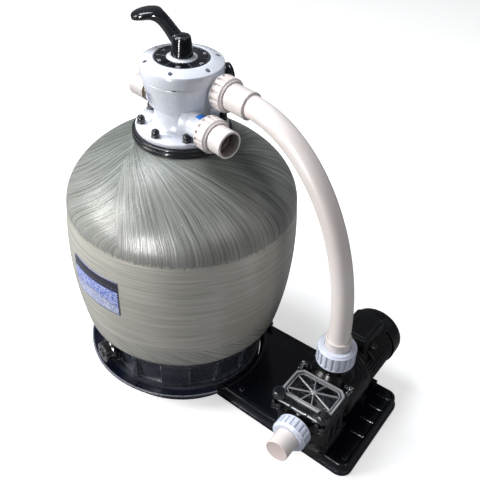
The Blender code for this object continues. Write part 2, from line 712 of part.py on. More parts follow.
cut(
    pump_housing,
    block("pot_room", (0.106, 0.070, 0.1400), (PUMP_X, POT_Y, 0.1360)),
    rod("suction_bore", TAIL_BORE_R, -0.030, 0.0600, **SUCTION),
    rod("eye_bore", TAIL_BORE_R, -0.080, 0.0, **SHAFT),
    rod("volute_room", 0.0580, -0.0220, 0.0400, **SHAFT, steps=20),
    rod("discharge_bore", TAIL_BORE_R, 0.1500, 0.2600, **DISCHARGE),
)

# ------------------------------------------------------------------ lid gasket
lid_gasket = block("lid_gasket", (0.118, 0.084, 0.0019), (PUMP_X, POT_Y, 0.19235), "rubber")
cut(lid_gasket, block("gasket_window", (0.108, 0.073, 0.010), (PUMP_X, POT_Y, 0.1920)))

# --------------------------------------------- strainer lid, origin on its hinge
hinge_at = Vector(LID_HINGE)
lid_mid = Vector((0.0, *LID_MID)) - Vector((0, *LID_HINGE[1:]))
EAR_OFFSET = 0.0625
# rim bars: x and y from the lid's middle, size in x, size in y
RIM_BARS = [
    (-0.0585, 0.0078, 0.005, 0.0795), (0.0585, 0.0078, 0.005, 0.0795),
    (0, 0.0455, 0.122, 0.005), (0, -0.0320, 0.122, 0.005),
]

strainer_lid = block("strainer_lid", (0.130, 0.104, 0.0064), lid_mid, "clear", at=hinge_at,
                     bevel=0.0015)
for i, (x, y, width, depth) in enumerate(RIM_BARS):
    join(strainer_lid, block(f"lid_rim_{i}", (width, depth, 0.006),
                             lid_mid + Vector((x, y, 0.0050)), at=hinge_at))
for i in range(4):
    join(strainer_lid, block(f"lid_rib_{i}", (0.090, 0.003, 0.004), (0, 0, 0),
                             at=hinge_at + lid_mid + Vector((0, 0.005, 0.0040)),
                             turn=about_z(22.5 + 45 * i)))
for i, x in enumerate((-EAR_OFFSET, EAR_OFFSET)):
    join(
        strainer_lid,
        block(f"lid_ear_{i}", (0.0070, 0.0200, 0.0110), (x * 0.98, -0.0085, -0.0015), at=hinge_at),
        rod(f"lid_pin_{i}", 0.0030, -0.0085, 0.0085,
            at=hinge_at + Vector((x * 0.90, 0, 0)), direction=(1, 0, 0)),
    )
    cut(strainer_lid, rod(f"lid_stud_hole_{i}", 0.0034, -0.03, 0.03,
                          at=(KNOB_X[i], KNOB_Y, LID_MID[1])))

# ------------------------------------------------------------------- lid knobs
for side, x in zip(("left", "right"), KNOB_X):
    turned(f"knob_{side}", [
        (0.0, 0.0240), (0.0115, 0.0235), (0.0142, 0.0212), (0.0145, 0.0110), (0.0125, 0.0088),
        (0.0110, 0.0060), (0.0105, 0.0040), (0.0030, 0.0040), (0.0030, -0.0300), (0.0, -0.0300),
    ], "black", at=(x, KNOB_Y, LID_MID[1]), closed=False)

# ------------------------------------------------------------- strainer basket
strainer_basket = block("strainer_basket", (0.098, 0.064, 0.108), (PUMP_X, POT_Y, 0.1250), "pvc",
                        bevel=0.0015)
cut(
    strainer_basket,
    block("basket_room", (0.094, 0.060, 0.112), (PUMP_X, POT_Y, 0.1300)),
    rod("basket_inlet", 0.0170, -0.020, 0.020, **SUCTION),
)

# ----------------------------------------------------- seal plate and impeller
turned("seal_plate", [
    (0.0680, 0.0405), (0.0680, 0.0284), (0.0570, 0.0284), (0.0570, 0.0250),
    (0.0120, 0.0250), (0.0078, 0.0284), (0.0078, 0.0405),
], "black", **SHAFT)
impeller = turned("impeller", [
    (0.0500, 0.0170), (0.0500, 0.0140), (0.0160, 0.0130), (0.0140, -0.0050),
    (0.0, -0.0090), (0.0, -0.0020), (0.0074, -0.0020), (0.0074, 0.0170),
], "grey", **SHAFT, steps=24)
for i in range(5):
    join(impeller, block(f"vane_{i}", (0.0340, 0.0030, 0.0100), (0.0310, 0.0, 0.0100),
                         at=SHAFT["at"], turn=along(SHAFT["direction"]) @ about_z(72 * i)))

# ----------------------------------------------------------------------- motor
turned("motor_shaft", [
    (0.0, 0.2120), (0.0065, 0.2120), (0.0070, 0.2115), (0.0070, -0.0010), (0.0, -0.0010),
], "steel", **SHAFT, closed=False)
motor_housing = turned("motor_housing", [
    (0.0560, 0.1860), (0.0600, 0.1850), (0.0600, 0.1760), (MOTOR_R, 0.1730), (MOTOR_R, 0.0560),
    (0.0600, 0.0530), (0.0600, 0.0409), (0.0078, 0.0409), (0.0078, 0.1860),
], "motor", **SHAFT, steps=20)
join(motor_housing, block("motor_foot", (0.0700, 0.0900, 0.0550), (PUMP_X, 0.1150, 0.0620),
                          bevel=0.002))
turned("fan_cover", [
    (0.0520, 0.2240), (0.0640, 0.2160), (0.0670, 0.2060), (0.0670, 0.1740), (0.0646, 0.1740),
    (0.0646, 0.2050), (0.0620, 0.2140), (0.0510, 0.2210), (0.0100, 0.2210), (0.0100, 0.2240),
], "motor", **SHAFT, steps=20)
turned("cooling_fan", [
    (0.0300, 0.2060), (0.0500, 0.2060), (0.0500, 0.1890), (0.0480, 0.1890), (0.0480, 0.2030),
    (0.0120, 0.2030), (0.0120, 0.1900), (0.0074, 0.1900), (0.0074, 0.2060),
], "grey", **SHAFT)
terminal_box = block("terminal_box", (0.0720, 0.0950, 0.0600), (PUMP_X, 0.1120, 0.2080), "motor",
                     bevel=0.005, segments=2)
cut(terminal_box, rod("terminal_saddle", MOTOR_R + 0.0020, 0.0, 0.300, **SHAFT))

# ----------------------------------------------------------------- pump unions
nut("suction_nut", "white", SUCTION, low=0.0270, high=0.0580, radius=0.0395, lip=0.0270)
tail("suction_tail", SUCTION, face=0.0444, collar=0.0510, end=0.0970, socket_from=0.0700,
     radius=0.0264, socket=0.0217)
turned("suction_plug", [
    (0.0, 0.0995), (0.0262, 0.0995), (0.0262, 0.0974),
    (0.0213, 0.0974), (0.0213, 0.0750), (0.0, 0.0750),
], "pvc", **SUCTION, closed=False)
nut("discharge_nut", "white", DISCHARGE, low=0.2360, high=0.2800, radius=0.0430, steps=24)
tail("discharge_tail", DISCHARGE, face=0.2464, collar=0.2520, end=0.3020, socket_from=0.2640)

# --------------------------------------------------------------------- shading
# turned pieces hold no faces of their own, only a profile
for piece in PART.objects:
    if piece.data.polygons:
        piece.data.shade_smooth()
        piece.data.set_sharp_from_angle(angle=math.radians(35))
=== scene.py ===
"""A sand filter set: wound fibreglass tank with a top-mounted multiport valve and a strainer pump.

Metres, +Z up. The tank's axis is the Z axis, standing on z = 0. The pump sits at +X, on a plate
joined to the tank's stand: its strainer pot faces -Y and its motor runs back along +Y.
Lathe profiles are lists of (radius, distance along the axis).
"""

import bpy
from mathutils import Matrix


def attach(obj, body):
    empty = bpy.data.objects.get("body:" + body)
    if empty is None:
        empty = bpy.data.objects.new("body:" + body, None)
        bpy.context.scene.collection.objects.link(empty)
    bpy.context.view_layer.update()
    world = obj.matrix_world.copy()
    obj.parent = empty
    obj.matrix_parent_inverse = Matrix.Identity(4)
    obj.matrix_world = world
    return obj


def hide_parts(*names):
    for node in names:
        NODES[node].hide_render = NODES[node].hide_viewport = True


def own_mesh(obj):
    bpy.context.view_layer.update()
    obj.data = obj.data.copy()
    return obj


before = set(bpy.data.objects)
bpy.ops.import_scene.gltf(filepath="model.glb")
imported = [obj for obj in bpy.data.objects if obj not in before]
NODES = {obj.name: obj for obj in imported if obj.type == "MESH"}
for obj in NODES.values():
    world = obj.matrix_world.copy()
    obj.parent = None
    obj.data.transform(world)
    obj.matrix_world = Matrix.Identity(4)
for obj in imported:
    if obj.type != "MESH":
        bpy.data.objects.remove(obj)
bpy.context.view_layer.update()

import math

import bmesh
import bpy
import numpy as np
from mathutils import Matrix, Quaternion, Vector

PI = math.pi
UP = (0, 0, 1)


# ==================================================================== shapes
def heading(degrees):
    """Level unit vector, turned from +X towards +Y."""
    a = math.radians(degrees)
    return Vector((math.cos(a), math.sin(a), 0.0))


def about_z(degrees):
    return Quaternion(UP, math.radians(degrees))


def along(direction):
    """The turn that lays +Z along a direction."""
    return Vector(direction).to_track_quat("Z", "Y")


def smooth(x, start, end):
    t = np.clip((np.asarray(x, float) - start) / (end - start), 0, 1)
    return t * t * (3 - 2 * t)


def filleted(profile, radius, closed):
    """The profile with every real corner off the axis rounded in four steps."""
    points = [Vector(p) for p in profile]
    count, out = len(points), []
    for i, p in enumerate(points):
        if not closed and i in (0, count - 1) or p.x < 1e-6:
            out.append(tuple(p))
            continue
        back, on = points[i - 1] - p, points[(i + 1) % count] - p
        if back.length < 1e-7 or on.length < 1e-7 or PI - back.angle(on) < math.radians(14):
            out.append(tuple(p))
            continue
        cut = min(radius, 0.45 * back.length, 0.45 * on.length)
        start, end = p + back.normalized() * cut, p + on.normalized() * cut
        for k in range(5):
            t = k / 4
            out.append(tuple(start * (1 - t) ** 2 + p * 2 * t * (1 - t) + end * t * t))
    return out


def register(obj, body, material, *replaced):
    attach(obj, body)
    if replaced:
        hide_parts(*replaced)


def solidify(obj, name, thickness):
    wall = obj.modifiers.new(name, "SOLIDIFY")
    wall.thickness, wall.offset = thickness, -1.0


def link_object(name, mesh):
    obj = bpy.data.objects.new(name, mesh)
    bpy.context.scene.collection.objects.link(obj)
    return obj


class Piece:
    """A mesh built up from turned, boxed, swept and skinned shapes.

    It becomes the object vis_<name>. mat is an index into its materials.
    """

    def __init__(self, name):
        self.name, self.verts, self.faces, self.mats = name, [], [], []

    def add(self, verts, faces, mat=0):
        base = len(self.verts)
        self.verts += [tuple(map(float, p)) for p in verts]
        self.faces += [[base + i for i in face] for face in faces]
        self.mats += [mat] * len(faces)
        return self

    def lathe(self, profile, at=(0, 0, 0), direction=UP, steps=96, fillet=0.0, mod=None, mat=0,
              closed=True):
        """Turns a profile; mod reshapes the arrays (angle, radius, height)."""
        if fillet:
            profile = filleted(profile, fillet, closed)
        flat = np.array(profile, float)
        n = len(flat)
        radius = np.repeat(flat[None, :, 0], steps, 0)
        height = np.repeat(flat[None, :, 1], steps, 0)
        angle = np.repeat((np.arange(steps) * 2 * PI / steps)[:, None], n, 1)
        if mod is not None:
            radius, height = mod(angle, radius, height)
        points = np.stack([radius * np.cos(angle), radius * np.sin(angle), height], -1)
        turn = np.array(along(direction).to_matrix())
        points = points.reshape(-1, 3) @ turn.T + np.array(at, float)
        faces = []
        for i in range(steps):
            j = (i + 1) % steps
            for k in range(n if closed else n - 1):
                q = (k + 1) % n
                if profile[k][0] < 1e-7 and profile[q][0] < 1e-7:
                    continue
                faces.append([i * n + k, j * n + k, j * n + q, i * n + q])
        return self.add(points, faces, mat)

    def box(self, size, centre, bevel, turn=Quaternion(), at=(0, 0, 0), mat=0, taper=(1, 1)):
        """A box turned about the point at; taper scales its top in x and y."""
        b = bmesh.new()
        bmesh.ops.create_cube(b, size=1.0)
        for v in b.verts:
            if v.co.z > 0:
                v.co.x *= taper[0]
                v.co.y *= taper[1]
            v.co = Vector((v.co.x * size[0], v.co.y * size[1], v.co.z * size[2]))
        if bevel:
            bmesh.ops.bevel(b, geom=list(b.edges), offset=bevel, segments=3, profile=0.6,
                            affect="EDGES", clamp_overlap=True)
        for v in b.verts:
            v.co = Vector(at) + turn @ (v.co + Vector(centre))
        b.verts.index_update()
        self.add([v.co for v in b.verts], [[v.index for v in f.verts] for f in b.faces], mat)
        b.free()

    def skin(self, rings, closed=True, caps=True, mat=0):
        """Skins rings that all hold the same number of points."""
        n = len(rings[0])
        faces = []
        for i in range(len(rings) - 1):
            for k in range(n if closed else n - 1):
                q = (k + 1) % n
                faces.append([i * n + k, i * n + q, (i + 1) * n + q, (i + 1) * n + k])
        if caps:
            faces.append(list(range(n))[::-1])
            faces.append([(len(rings) - 1) * n + k for k in range(n)])
        return self.add([p for ring in rings for p in ring], faces, mat)

    def tube(self, points, radius, sides):
        points = [Vector(p) for p in points]
        before = (points[1] - points[0]).normalized()
        normal = before.orthogonal().normalized()
        rings = []
        for i, p in enumerate(points):
            ahead = (points[min(i + 1, len(points) - 1)] - points[max(i - 1, 0)]).normalized()
            normal = before.rotation_difference(ahead) @ normal
            before = ahead
            side = ahead.cross(normal)
            rings.append([p + (normal * math.cos(a) + side * math.sin(a)) * radius
                          for a in (2 * PI * k / sides for k in range(sides))])
        self.skin(rings)

    def prism(self, outline, levels, mat=0):
        """An outline carried through levels of (offset inwards, height), closed at both ends."""
        points = np.array(outline, float)
        before, after = points - np.roll(points, 1, 0), np.roll(points, -1, 0) - points

        def normals(edges):
            lengths = np.linalg.norm(edges, axis=1)[:, None]
            return np.stack([-edges[:, 1], edges[:, 0]], -1) / lengths

        first = normals(before)
        mitre = first + normals(after)
        mitre /= np.maximum(0.35, (mitre * first).sum(1))[:, None]
        rings = [[(x, y, z) for x, y in points + mitre * inset] for inset, z in levels]
        return self.skin(rings, mat=mat)

    def frame(self, outer, inner, z0, z1, bevel, mat=0):
        """A flat frame between two outlines, softened along its top edges."""
        def between(t):
            return [(a[0] + (b[0] - a[0]) * t, a[1] + (b[1] - a[1]) * t)
                    for a, b in zip(outer, inner)]

        edge = min(0.4, bevel / max(1e-4, math.dist(outer[0], inner[0])))
        levels = [(outer, z0), (outer, z1 - bevel), (between(edge * 0.3), z1 - bevel * 0.3),
                  (between(edge), z1), (between(1 - edge), z1), (inner, z1 - bevel), (inner, z0),
                  (outer, z0)]
        self.skin([[(*p, z) for p in line] for line, z in levels], caps=False, mat=mat)

    def build(self, name, mats, angle=38, cutters=None):
        """Makes the object, less the cutters' shape; edges above the angle are sharp."""
        mesh = bpy.data.meshes.new(name)
        mesh.from_pydata(self.verts, [], self.faces)
        for m in mats:
            mesh.materials.append(m)
        for polygon, m in zip(mesh.polygons, self.mats):
            polygon.material_index = m
        b = bmesh.new()
        b.from_mesh(mesh)
        bmesh.ops.remove_doubles(b, verts=b.verts, dist=1e-6)
        bmesh.ops.recalc_face_normals(b, faces=b.faces)
        b.to_mesh(mesh)
        b.free()
        obj = link_object(name, mesh)
        if cutters is not None:
            cutter = cutters.build(cutters.name, mats[:1])
            step = obj.modifiers.new("Holes", "BOOLEAN")
            step.object, step.operation, step.solver = cutter, "DIFFERENCE", "EXACT"
            bpy.context.view_layer.update()
            evaluated = obj.evaluated_get(bpy.context.evaluated_depsgraph_get())
            cut = bpy.data.meshes.new_from_object(evaluated)
            obj.modifiers.clear()
            obj.data = cut
            cut.name = name
            bpy.data.objects.remove(cutter)
            while len(cut.materials) > len(mats):
                cut.materials.pop()
        obj.data.shade_smooth()
        obj.data.set_sharp_from_angle(angle=math.radians(angle))
        return obj

    def done(self, *mats, body="root", angle=38, cutters=None, replaces=True):
        """Builds and registers the object, in place of the CAD piece of the same name."""
        obj = self.build("vis_" + self.name, mats, angle, cutters)
        register(obj, body, mats[0], *([self.name] if replaces else []))
        return obj


def uv_sheet(name, rows, v_values, material, wall, wrap=False):
    """A grid of points with UVs; u runs along each row. wall is (modifier name, thickness)."""
    mesh = bpy.data.meshes.new("vis_" + name)
    sheet = bmesh.new()
    uv = sheet.loops.layers.uv.new("UVMap")
    verts = [[sheet.verts.new(p) for p in row] for row in rows]
    count = len(rows[0])
    columns = count if wrap else count - 1
    for j in range(len(rows) - 1):
        for i in range(columns):
            q = (i + 1) % count
            face = sheet.faces.new((verts[j][i], verts[j][q], verts[j + 1][q], verts[j + 1][i]))
            corners = ((i, j), (i + 1, j), (i + 1, j + 1), (i, j + 1))
            for loop, (a, b) in zip(face.loops, corners):
                loop[uv].uv = (a / columns, v_values[b])
    if wrap:
        bmesh.ops.recalc_face_normals(sheet, faces=sheet.faces)
    sheet.to_mesh(mesh)
    sheet.free()
    mesh.materials.append(material)
    obj = link_object("vis_" + name, mesh)
    mesh.shade_smooth()
    solidify(obj, *wall)
    register(obj, "root", material, name)


# ================================================================= materials
class Signal:
    """A node's output; arithmetic on it adds Math nodes."""

    def __init__(self, look, socket):
        self.look, self.socket = look, socket

    def __add__(self, other):
        return self.look.calc("ADD", self, other)

    def __sub__(self, other):
        return self.look.calc("SUBTRACT", self, other)

    def __rsub__(self, other):
        return self.look.calc("SUBTRACT", other, self)

    def __mul__(self, other):
        return self.look.calc("MULTIPLY", self, other)

    def __truediv__(self, other):
        return self.look.calc("DIVIDE", self, other)

    def __rtruediv__(self, other):
        return self.look.calc("DIVIDE", other, self)

    def __pow__(self, other):
        return self.look.calc("POWER", self, other)


class Look:
    """A material being built; xyz is the object coordinate."""

    def __init__(self, name):
        self.material = bpy.data.materials.new(name)
        self.material.use_nodes = True
        self.tree = self.material.node_tree
        self.tree.nodes.clear()
        self.surface = self.tree.nodes.new("ShaderNodeOutputMaterial").inputs[0]
        self.xyz = self.value("TexCoord", output="Object")

    def put(self, socket, value):
        if isinstance(value, Signal):
            self.tree.links.new(value.socket, socket)
        elif socket.type == "RGBA":
            socket.default_value = (*value, 1.0)
        else:
            socket.default_value = value

    def node(self, kind, inputs=None, **props):
        node = self.tree.nodes.new("ShaderNode" + kind)
        for key, value in props.items():
            setattr(node, key, value)
        for key, value in (inputs or {}).items():
            self.put(node.inputs[key], value)
        return node

    def value(self, kind, inputs=None, output=0, **props):
        return Signal(self, self.node(kind, inputs, **props).outputs[output])

    def calc(self, op, a, b=0.0):
        return self.value("Math", {0: a, 1: b}, operation=op)

    def parts(self, vector):
        return [Signal(self, o) for o in self.node("SeparateXYZ", {0: vector}).outputs]

    def radius(self, x, y):
        return self.calc("SQRT", x * x + y * y)

    def vec(self, x, y, z):
        return self.value("CombineXYZ", {0: x, 1: y, 2: z})

    def scaled(self, vector, scale):
        return self.value("VectorMath", {0: vector, 1: scale}, operation="MULTIPLY")

    def noise(self, vector, scale=1.0, detail=2.0, rough=0.5, distortion=0.0):
        return self.value("TexNoise", {"Vector": vector, "Scale": scale, "Detail": detail,
                                       "Roughness": rough, "Distortion": distortion})

    def span(self, value, start, end, to=(0.0, 1.0)):
        """Maps start..end linearly onto the two values of to, clamped."""
        return self.value("MapRange", {"Value": value, "From Min": start, "From Max": end,
                                       "To Min": to[0], "To Max": to[1]})

    def mix(self, factor, a, b):
        return self.value("Mix", {0: factor, 6: a, 7: b}, output=2, data_type="RGBA")

    def blend(self, factor, a, b):
        return self.value("Mix", {0: factor, 2: a, 3: b}, data_type="FLOAT")

    def bump(self, height, strength, distance, normal=None):
        inputs = {"Height": height, "Strength": strength, "Distance": distance}
        if normal is not None:
            inputs["Normal"] = normal
        return self.value("Bump", inputs)

    def rounded(self, radius):
        return self.value("Bevel", {"Radius": radius}, samples=4)

    def finish(self, shader):
        self.put(self.surface, shader)
        return self.material

    def shade(self, **inputs):
        named = {key.replace("_", " "): value for key, value in inputs.items()}
        return self.finish(self.value("BsdfPrincipled", named))


def moulded(name, low, high, rough, grain=900.0, depth=0.00004, radius=0.0012, coat=0.0,
            dirt=None, sss=0.0, scuffs=0.0, crevice_shade=None, painted_glint=None, sheen=0.5, bands=()):
    """Moulded plastic: flow marks from low to high colour, grain, uneven gloss, rounded edges.

    dirt is (colour, amount) of spots; glint is (colour, amount), a highlight painted into the
    colour along edges;
    crevice is (colour, reach, amount), shade painted into hollows. bands are (start radius,
    amount, colour) out from the Z axis. radius rounds the edges.
    """
    k = Look(name)
    flow = k.noise(k.xyz, scale=9.0, detail=3.0, rough=0.55, distortion=0.6)
    colour = k.mix(k.span(flow, 0.35, 0.68), low, high)
    if dirt:
        spots = k.noise(k.xyz, scale=38.0, detail=6.0, rough=0.65)
        colour = k.mix(k.span(spots, 0.62, 0.74, to=(0.0, dirt[1])), colour, dirt[0])
    fine = k.noise(k.xyz, scale=grain)
    wide = k.noise(k.xyz, scale=60.0, detail=3.0)
    gloss = k.span(wide, 0.3, 0.72, to=(rough * 0.75, rough * 1.3))
    height = fine * 0.5 + wide * 1.6
    if scuffs:
        stretched = k.scaled(k.xyz, (260.0, 40.0, 180.0))
        lines = k.noise(stretched, detail=3.0, rough=0.6, distortion=1.4)
        scuff = k.span(lines, 0.68, 0.76, to=(0.0, scuffs))
        gloss = gloss + scuff * 0.35
        colour = k.mix(scuff * 0.30, colour, (0.35, 0.36, 0.38))
    # painted shade: the colour turns towards the tint where ambient occlusion finds hollows
    if crevice_shade:
        tint, reach, amount = crevice_shade
        open_sky = k.value("AmbientOcclusion", {"Distance": reach}, output="AO", samples=6,
                           only_local=True)
        colour = k.mix(k.span(open_sky, 0.25, 0.85, to=(amount, 0.0)), colour, tint)
    edge = k.rounded(radius)
    if bands:
        x, y, _ = k.parts(k.xyz)
        radial = k.radius(x, y)
        for start, amount, tint in bands:
            inside = k.span(radial, start - 0.0004, start + 0.0004, to=(0.0, amount))
            colour = k.mix(inside, colour, tint)
    # painted highlight: the colour turns towards the glint colour where the rounded edge normal
    # leaves the flat one
    if painted_glint:
        flat = k.value("NewGeometry", output="True Normal")
        facing = k.value("VectorMath", {0: edge, 1: flat}, output="Value",
                         operation="DOT_PRODUCT")
        colour = k.mix(k.span(facing, 0.985, 0.86, to=(0.0, painted_glint[1])), colour, painted_glint[0])
    return k.shade(
        Base_Color=colour, Roughness=gloss, Normal=k.bump(height, 0.55, depth, edge),
        Coat_Weight=coat, Coat_Roughness=0.06, Coat_Normal=edge, Subsurface_Weight=sss,
        Subsurface_Radius=(0.006, 0.005, 0.004), Subsurface_Scale=0.3, Specular_IOR_Level=sheen)


def fibreglass():
    """Strands crossing over the dome, hoops round the barrel, slanted strands at the foot."""
    k = Look("wound_fibreglass")
    x, y, z = k.parts(k.xyz)
    radius = k.radius(x, y)
    around = k.calc("ARCTAN2", y, x)

    def ring(angle, scale, depth):
        return k.vec(k.calc("COSINE", angle) * scale, k.calc("SINE", angle) * scale, depth)

    wobble = (k.noise(k.xyz, scale=9.0) - 0.5) * 0.05
    # two families of strands laid tangent to the neck, one each way
    lean = k.calc("ARCCOSINE", k.calc("MINIMUM", 0.100 / radius, 0.9999))
    one_way = around - lean * 1.28 + wobble
    other_way = around + (radius / 0.26) ** 6.0 * 0.49 + wobble
    # the sector of the dome where the second family lies uppermost
    past = k.calc("MAXIMUM", (radius - 0.101) / 0.1367, 0.0) ** 0.8
    split = past * 0.616 + (-2.108)
    beyond = k.span(around - split, -0.006, 0.010)
    before = k.span(around + lean * -0.25, 1.90, 1.93, to=(1.0, 0.0))
    side = beyond * before

    def strands(angle):
        broad = k.noise(ring(angle, 22.0, radius * 4.0))
        mid = k.noise(ring(angle, 64.0, radius * 9.0), detail=3.0, rough=0.62)
        fine = k.noise(ring(angle, 170.0, radius * 22.0))
        return broad * 0.18 + mid * 0.46 + fine * 0.36

    dome = k.blend(side, strands(other_way), strands(one_way))
    hoop_at = k.vec(x * 7.0, y * 7.0, z * 210.0 + wobble * 40.0)
    hoops = (k.noise(hoop_at, detail=3.0, rough=0.55) * 0.72
             + k.noise(k.scaled(hoop_at, (1.0, 1.0, 3.1)), detail=1.0) * 0.28)
    slant = around + z * 5.5
    low = (k.noise(ring(slant, 52.0, z * 14.0), detail=3.0, rough=0.6) * 0.65
           + k.noise(ring(slant, 150.0, 0.0), detail=1.0) * 0.35)
    # ragged heights where the three windings meet
    rag = k.noise(ring(around - lean * 1.28, 95.0, 0.0), detail=1.0) - 0.5
    dome_edge = z - (rag * 0.026 + 0.4745)
    is_dome = k.span(dome_edge, -0.0016, 0.0016)
    low_edge = z - (rag * 0.034 + 0.222)
    is_low = k.span(low_edge, -0.002, 0.002, to=(1.0, 0.0))
    strand = k.blend(is_low, k.blend(is_dome, hoops, dome), low)

    # strands fade just above the dome's end
    fade = k.span(z, 0.465, 0.560, to=(0.55, 1.0))
    bright = k.span(strand, 0.42, 0.60)
    tone = k.noise(k.xyz, scale=5.5, detail=3.0, rough=0.6)
    dome_dark = k.mix(k.span(z, 0.48, 0.62), (0.19, 0.195, 0.175), (0.050, 0.060, 0.052))
    dome_light = k.mix(k.span(z, 0.48, 0.62), (0.50, 0.51, 0.49), (0.30, 0.325, 0.30))
    dome_colour = k.mix(bright * fade, dome_dark, dome_light)
    hoop_colour = k.mix(k.span(hoops, 0.36, 0.66), (0.40, 0.39, 0.335), (0.62, 0.61, 0.555))
    low_colour = k.mix(k.span(low, 0.38, 0.62), (0.20, 0.195, 0.16), (0.66, 0.65, 0.60))
    colour = k.mix(is_low, k.mix(is_dome, hoop_colour, dome_colour), low_colour)
    colour = k.mix(k.span(tone, 0.35, 0.7, to=(0.0, 0.18)), colour, (0.16, 0.17, 0.16))
    # a thin dark line of resin where the dome's strands end
    line = (k.span(k.calc("ABSOLUTE", dome_edge), 0.0005, 0.0016, to=(1.0, 0.0))
            * k.span(k.noise(k.xyz, scale=30.0), 0.42, 0.55, to=(0.1, 0.55)))
    colour = k.mix(line, colour, (0.14, 0.14, 0.12))
    specks = k.span(k.noise(k.xyz, scale=170.0, rough=0.6), 0.735, 0.76, to=(0.0, 0.55))
    colour = k.mix(specks, colour, (0.80, 0.80, 0.76))

    rough = k.span(strand, 0.35, 0.65, to=(0.50, 0.32)) + (tone - 0.5) * 0.14
    height = strand * k.blend(is_dome, 0.55, 1.0) + is_dome * 0.10
    waves = k.bump(tone, strength=0.5, distance=0.004)
    return k.shade(
        Base_Color=colour, Roughness=rough, Normal=k.bump(height, strength=0.9, distance=0.0017),
        Coat_Weight=0.60, Coat_Roughness=0.24,
        Coat_Normal=k.bump(height, strength=0.80, distance=0.0011, normal=waves))


def label_print():
    """Generic print: a dark header, rows of unreadable dashes and two tints along a wave."""
    k = Look("label_print")
    u, v, _ = k.parts(k.value("TexCoord", output="UV"))
    row = k.calc("FLOOR", v * 17.0)
    within = k.calc("FRACT", v * 17.0)
    dash = k.noise(k.vec(u * 44.0, row * 7.3, 0.0), detail=1.0)
    ink = (k.span(dash, 0.44, 0.50)
           * k.span(k.calc("ABSOLUTE", within - 0.5), 0.20, 0.30, to=(1.0, 0.0)))
    wave = k.calc("SINE", u * 3.6) * 0.10 + 0.30
    page = k.mix(k.span(v - wave, -0.01, 0.01), (0.62, 0.67, 0.86), (0.13, 0.20, 0.66))
    wave_line = k.span(k.calc("ABSOLUTE", v - wave - 0.0), 0.010, 0.018, to=(0.8, 0.0))
    page = k.mix(wave_line, page, (0.05, 0.06, 0.14))
    text = k.mix(k.span(v - wave, -0.01, 0.01), (0.04, 0.09, 0.42), (0.80, 0.86, 1.0))
    body = k.mix(ink * 0.85, page, text)
    head = k.span(v, 0.715, 0.722) * 1.0
    head_ink = (k.span(k.noise(k.vec(u * 34.0, 2.0, 0.0), detail=1.0), 0.50, 0.55)
                * k.span(k.calc("ABSOLUTE", v - 0.80), 0.008, 0.014, to=(1.0, 0.0)))
    header = k.mix(head_ink * 0.5, (0.006, 0.006, 0.022), (0.35, 0.38, 0.6))
    colour = k.mix(head, body, header)
    side_gap = k.calc("MINIMUM", u, 1.0 - u)
    end_gap = k.calc("MINIMUM", v, 1.0 - v) * 0.48
    border = k.span(k.calc("MINIMUM", side_gap, end_gap), 0.006, 0.010, to=(1.0, 0.0))
    colour = k.mix(border, colour, (0.10, 0.12, 0.34))
    gloss = k.span(k.noise(k.xyz, scale=700.0), 0.3, 0.7, to=(0.24, 0.38))
    normal = k.bump(k.noise(k.xyz, scale=40.0), strength=0.2, distance=0.0006)
    return k.shade(Base_Color=colour, Roughness=gloss, Normal=normal, Coat_Weight=0.3,
                   Coat_Roughness=0.1)


def clear_plastic(name, tint, rough=0.03, haze=0.06):
    k = Look(name)
    wide = k.noise(k.xyz, scale=24.0, detail=3.0)
    lines = k.noise(k.scaled(k.xyz, (700.0, 90.0, 300.0)), rough=0.6, distortion=1.2)
    scratch = k.span(lines, 0.64, 0.72, to=(0.0, 0.16))
    paler = tuple(min(1.0, c * 1.12) for c in tint)
    return k.shade(
        Base_Color=k.mix(k.span(wide, 0.3, 0.7), tint, paler),
        Roughness=k.span(wide, 0.3, 0.7, to=(rough, rough + haze)) + scratch, IOR=1.46,
        Transmission_Weight=1.0,
        Normal=k.bump(wide, strength=0.15, distance=0.0004, normal=k.rounded(0.0008)))


def metal(name, colour, rough):
    k = Look(name)
    brush = k.noise(k.scaled(k.xyz, (120.0, 120.0, 1800.0)))
    tone = k.noise(k.xyz, scale=40.0, detail=3.0)
    darker = tuple(c * 0.82 for c in colour)
    return k.shade(
        Base_Color=k.mix(k.span(tone, 0.3, 0.7), colour, darker), Metallic=1.0,
        Roughness=k.span(brush, 0.3, 0.7, to=(rough * 0.8, rough * 1.35)),
        Normal=k.bump(brush, strength=0.25, distance=0.00005))


def hose_pvc():
    """Pale hose with a fine spiral of 150 turns."""
    k = Look("hose_pvc")
    u, v, _ = k.parts(k.value("TexCoord", output="UV"))
    turns = k.calc("SINE", v * (2 * PI * 150.0) + u * (2 * PI))
    flow = k.noise(k.xyz, scale=12.0, detail=3.0, rough=0.6)
    spots = k.noise(k.xyz, scale=30.0, detail=6.0, rough=0.7)
    grime = k.span(spots, 0.58, 0.78, to=(0.0, 0.22))
    colour = k.mix(k.span(flow, 0.3, 0.7), (0.86, 0.785, 0.765), (0.92, 0.86, 0.84))
    colour = k.mix(grime, colour, (0.66, 0.60, 0.56))
    height = turns * 0.35 + k.noise(k.xyz, scale=800.0) * 0.25
    return k.shade(
        Base_Color=colour, Roughness=k.span(flow, 0.3, 0.7, to=(0.36, 0.48)),
        Normal=k.bump(height, strength=0.35, distance=0.00012), Subsurface_Weight=0.12,
        Subsurface_Radius=(0.008, 0.005, 0.004), Subsurface_Scale=0.4, Coat_Weight=0.15,
        Coat_Roughness=0.2)


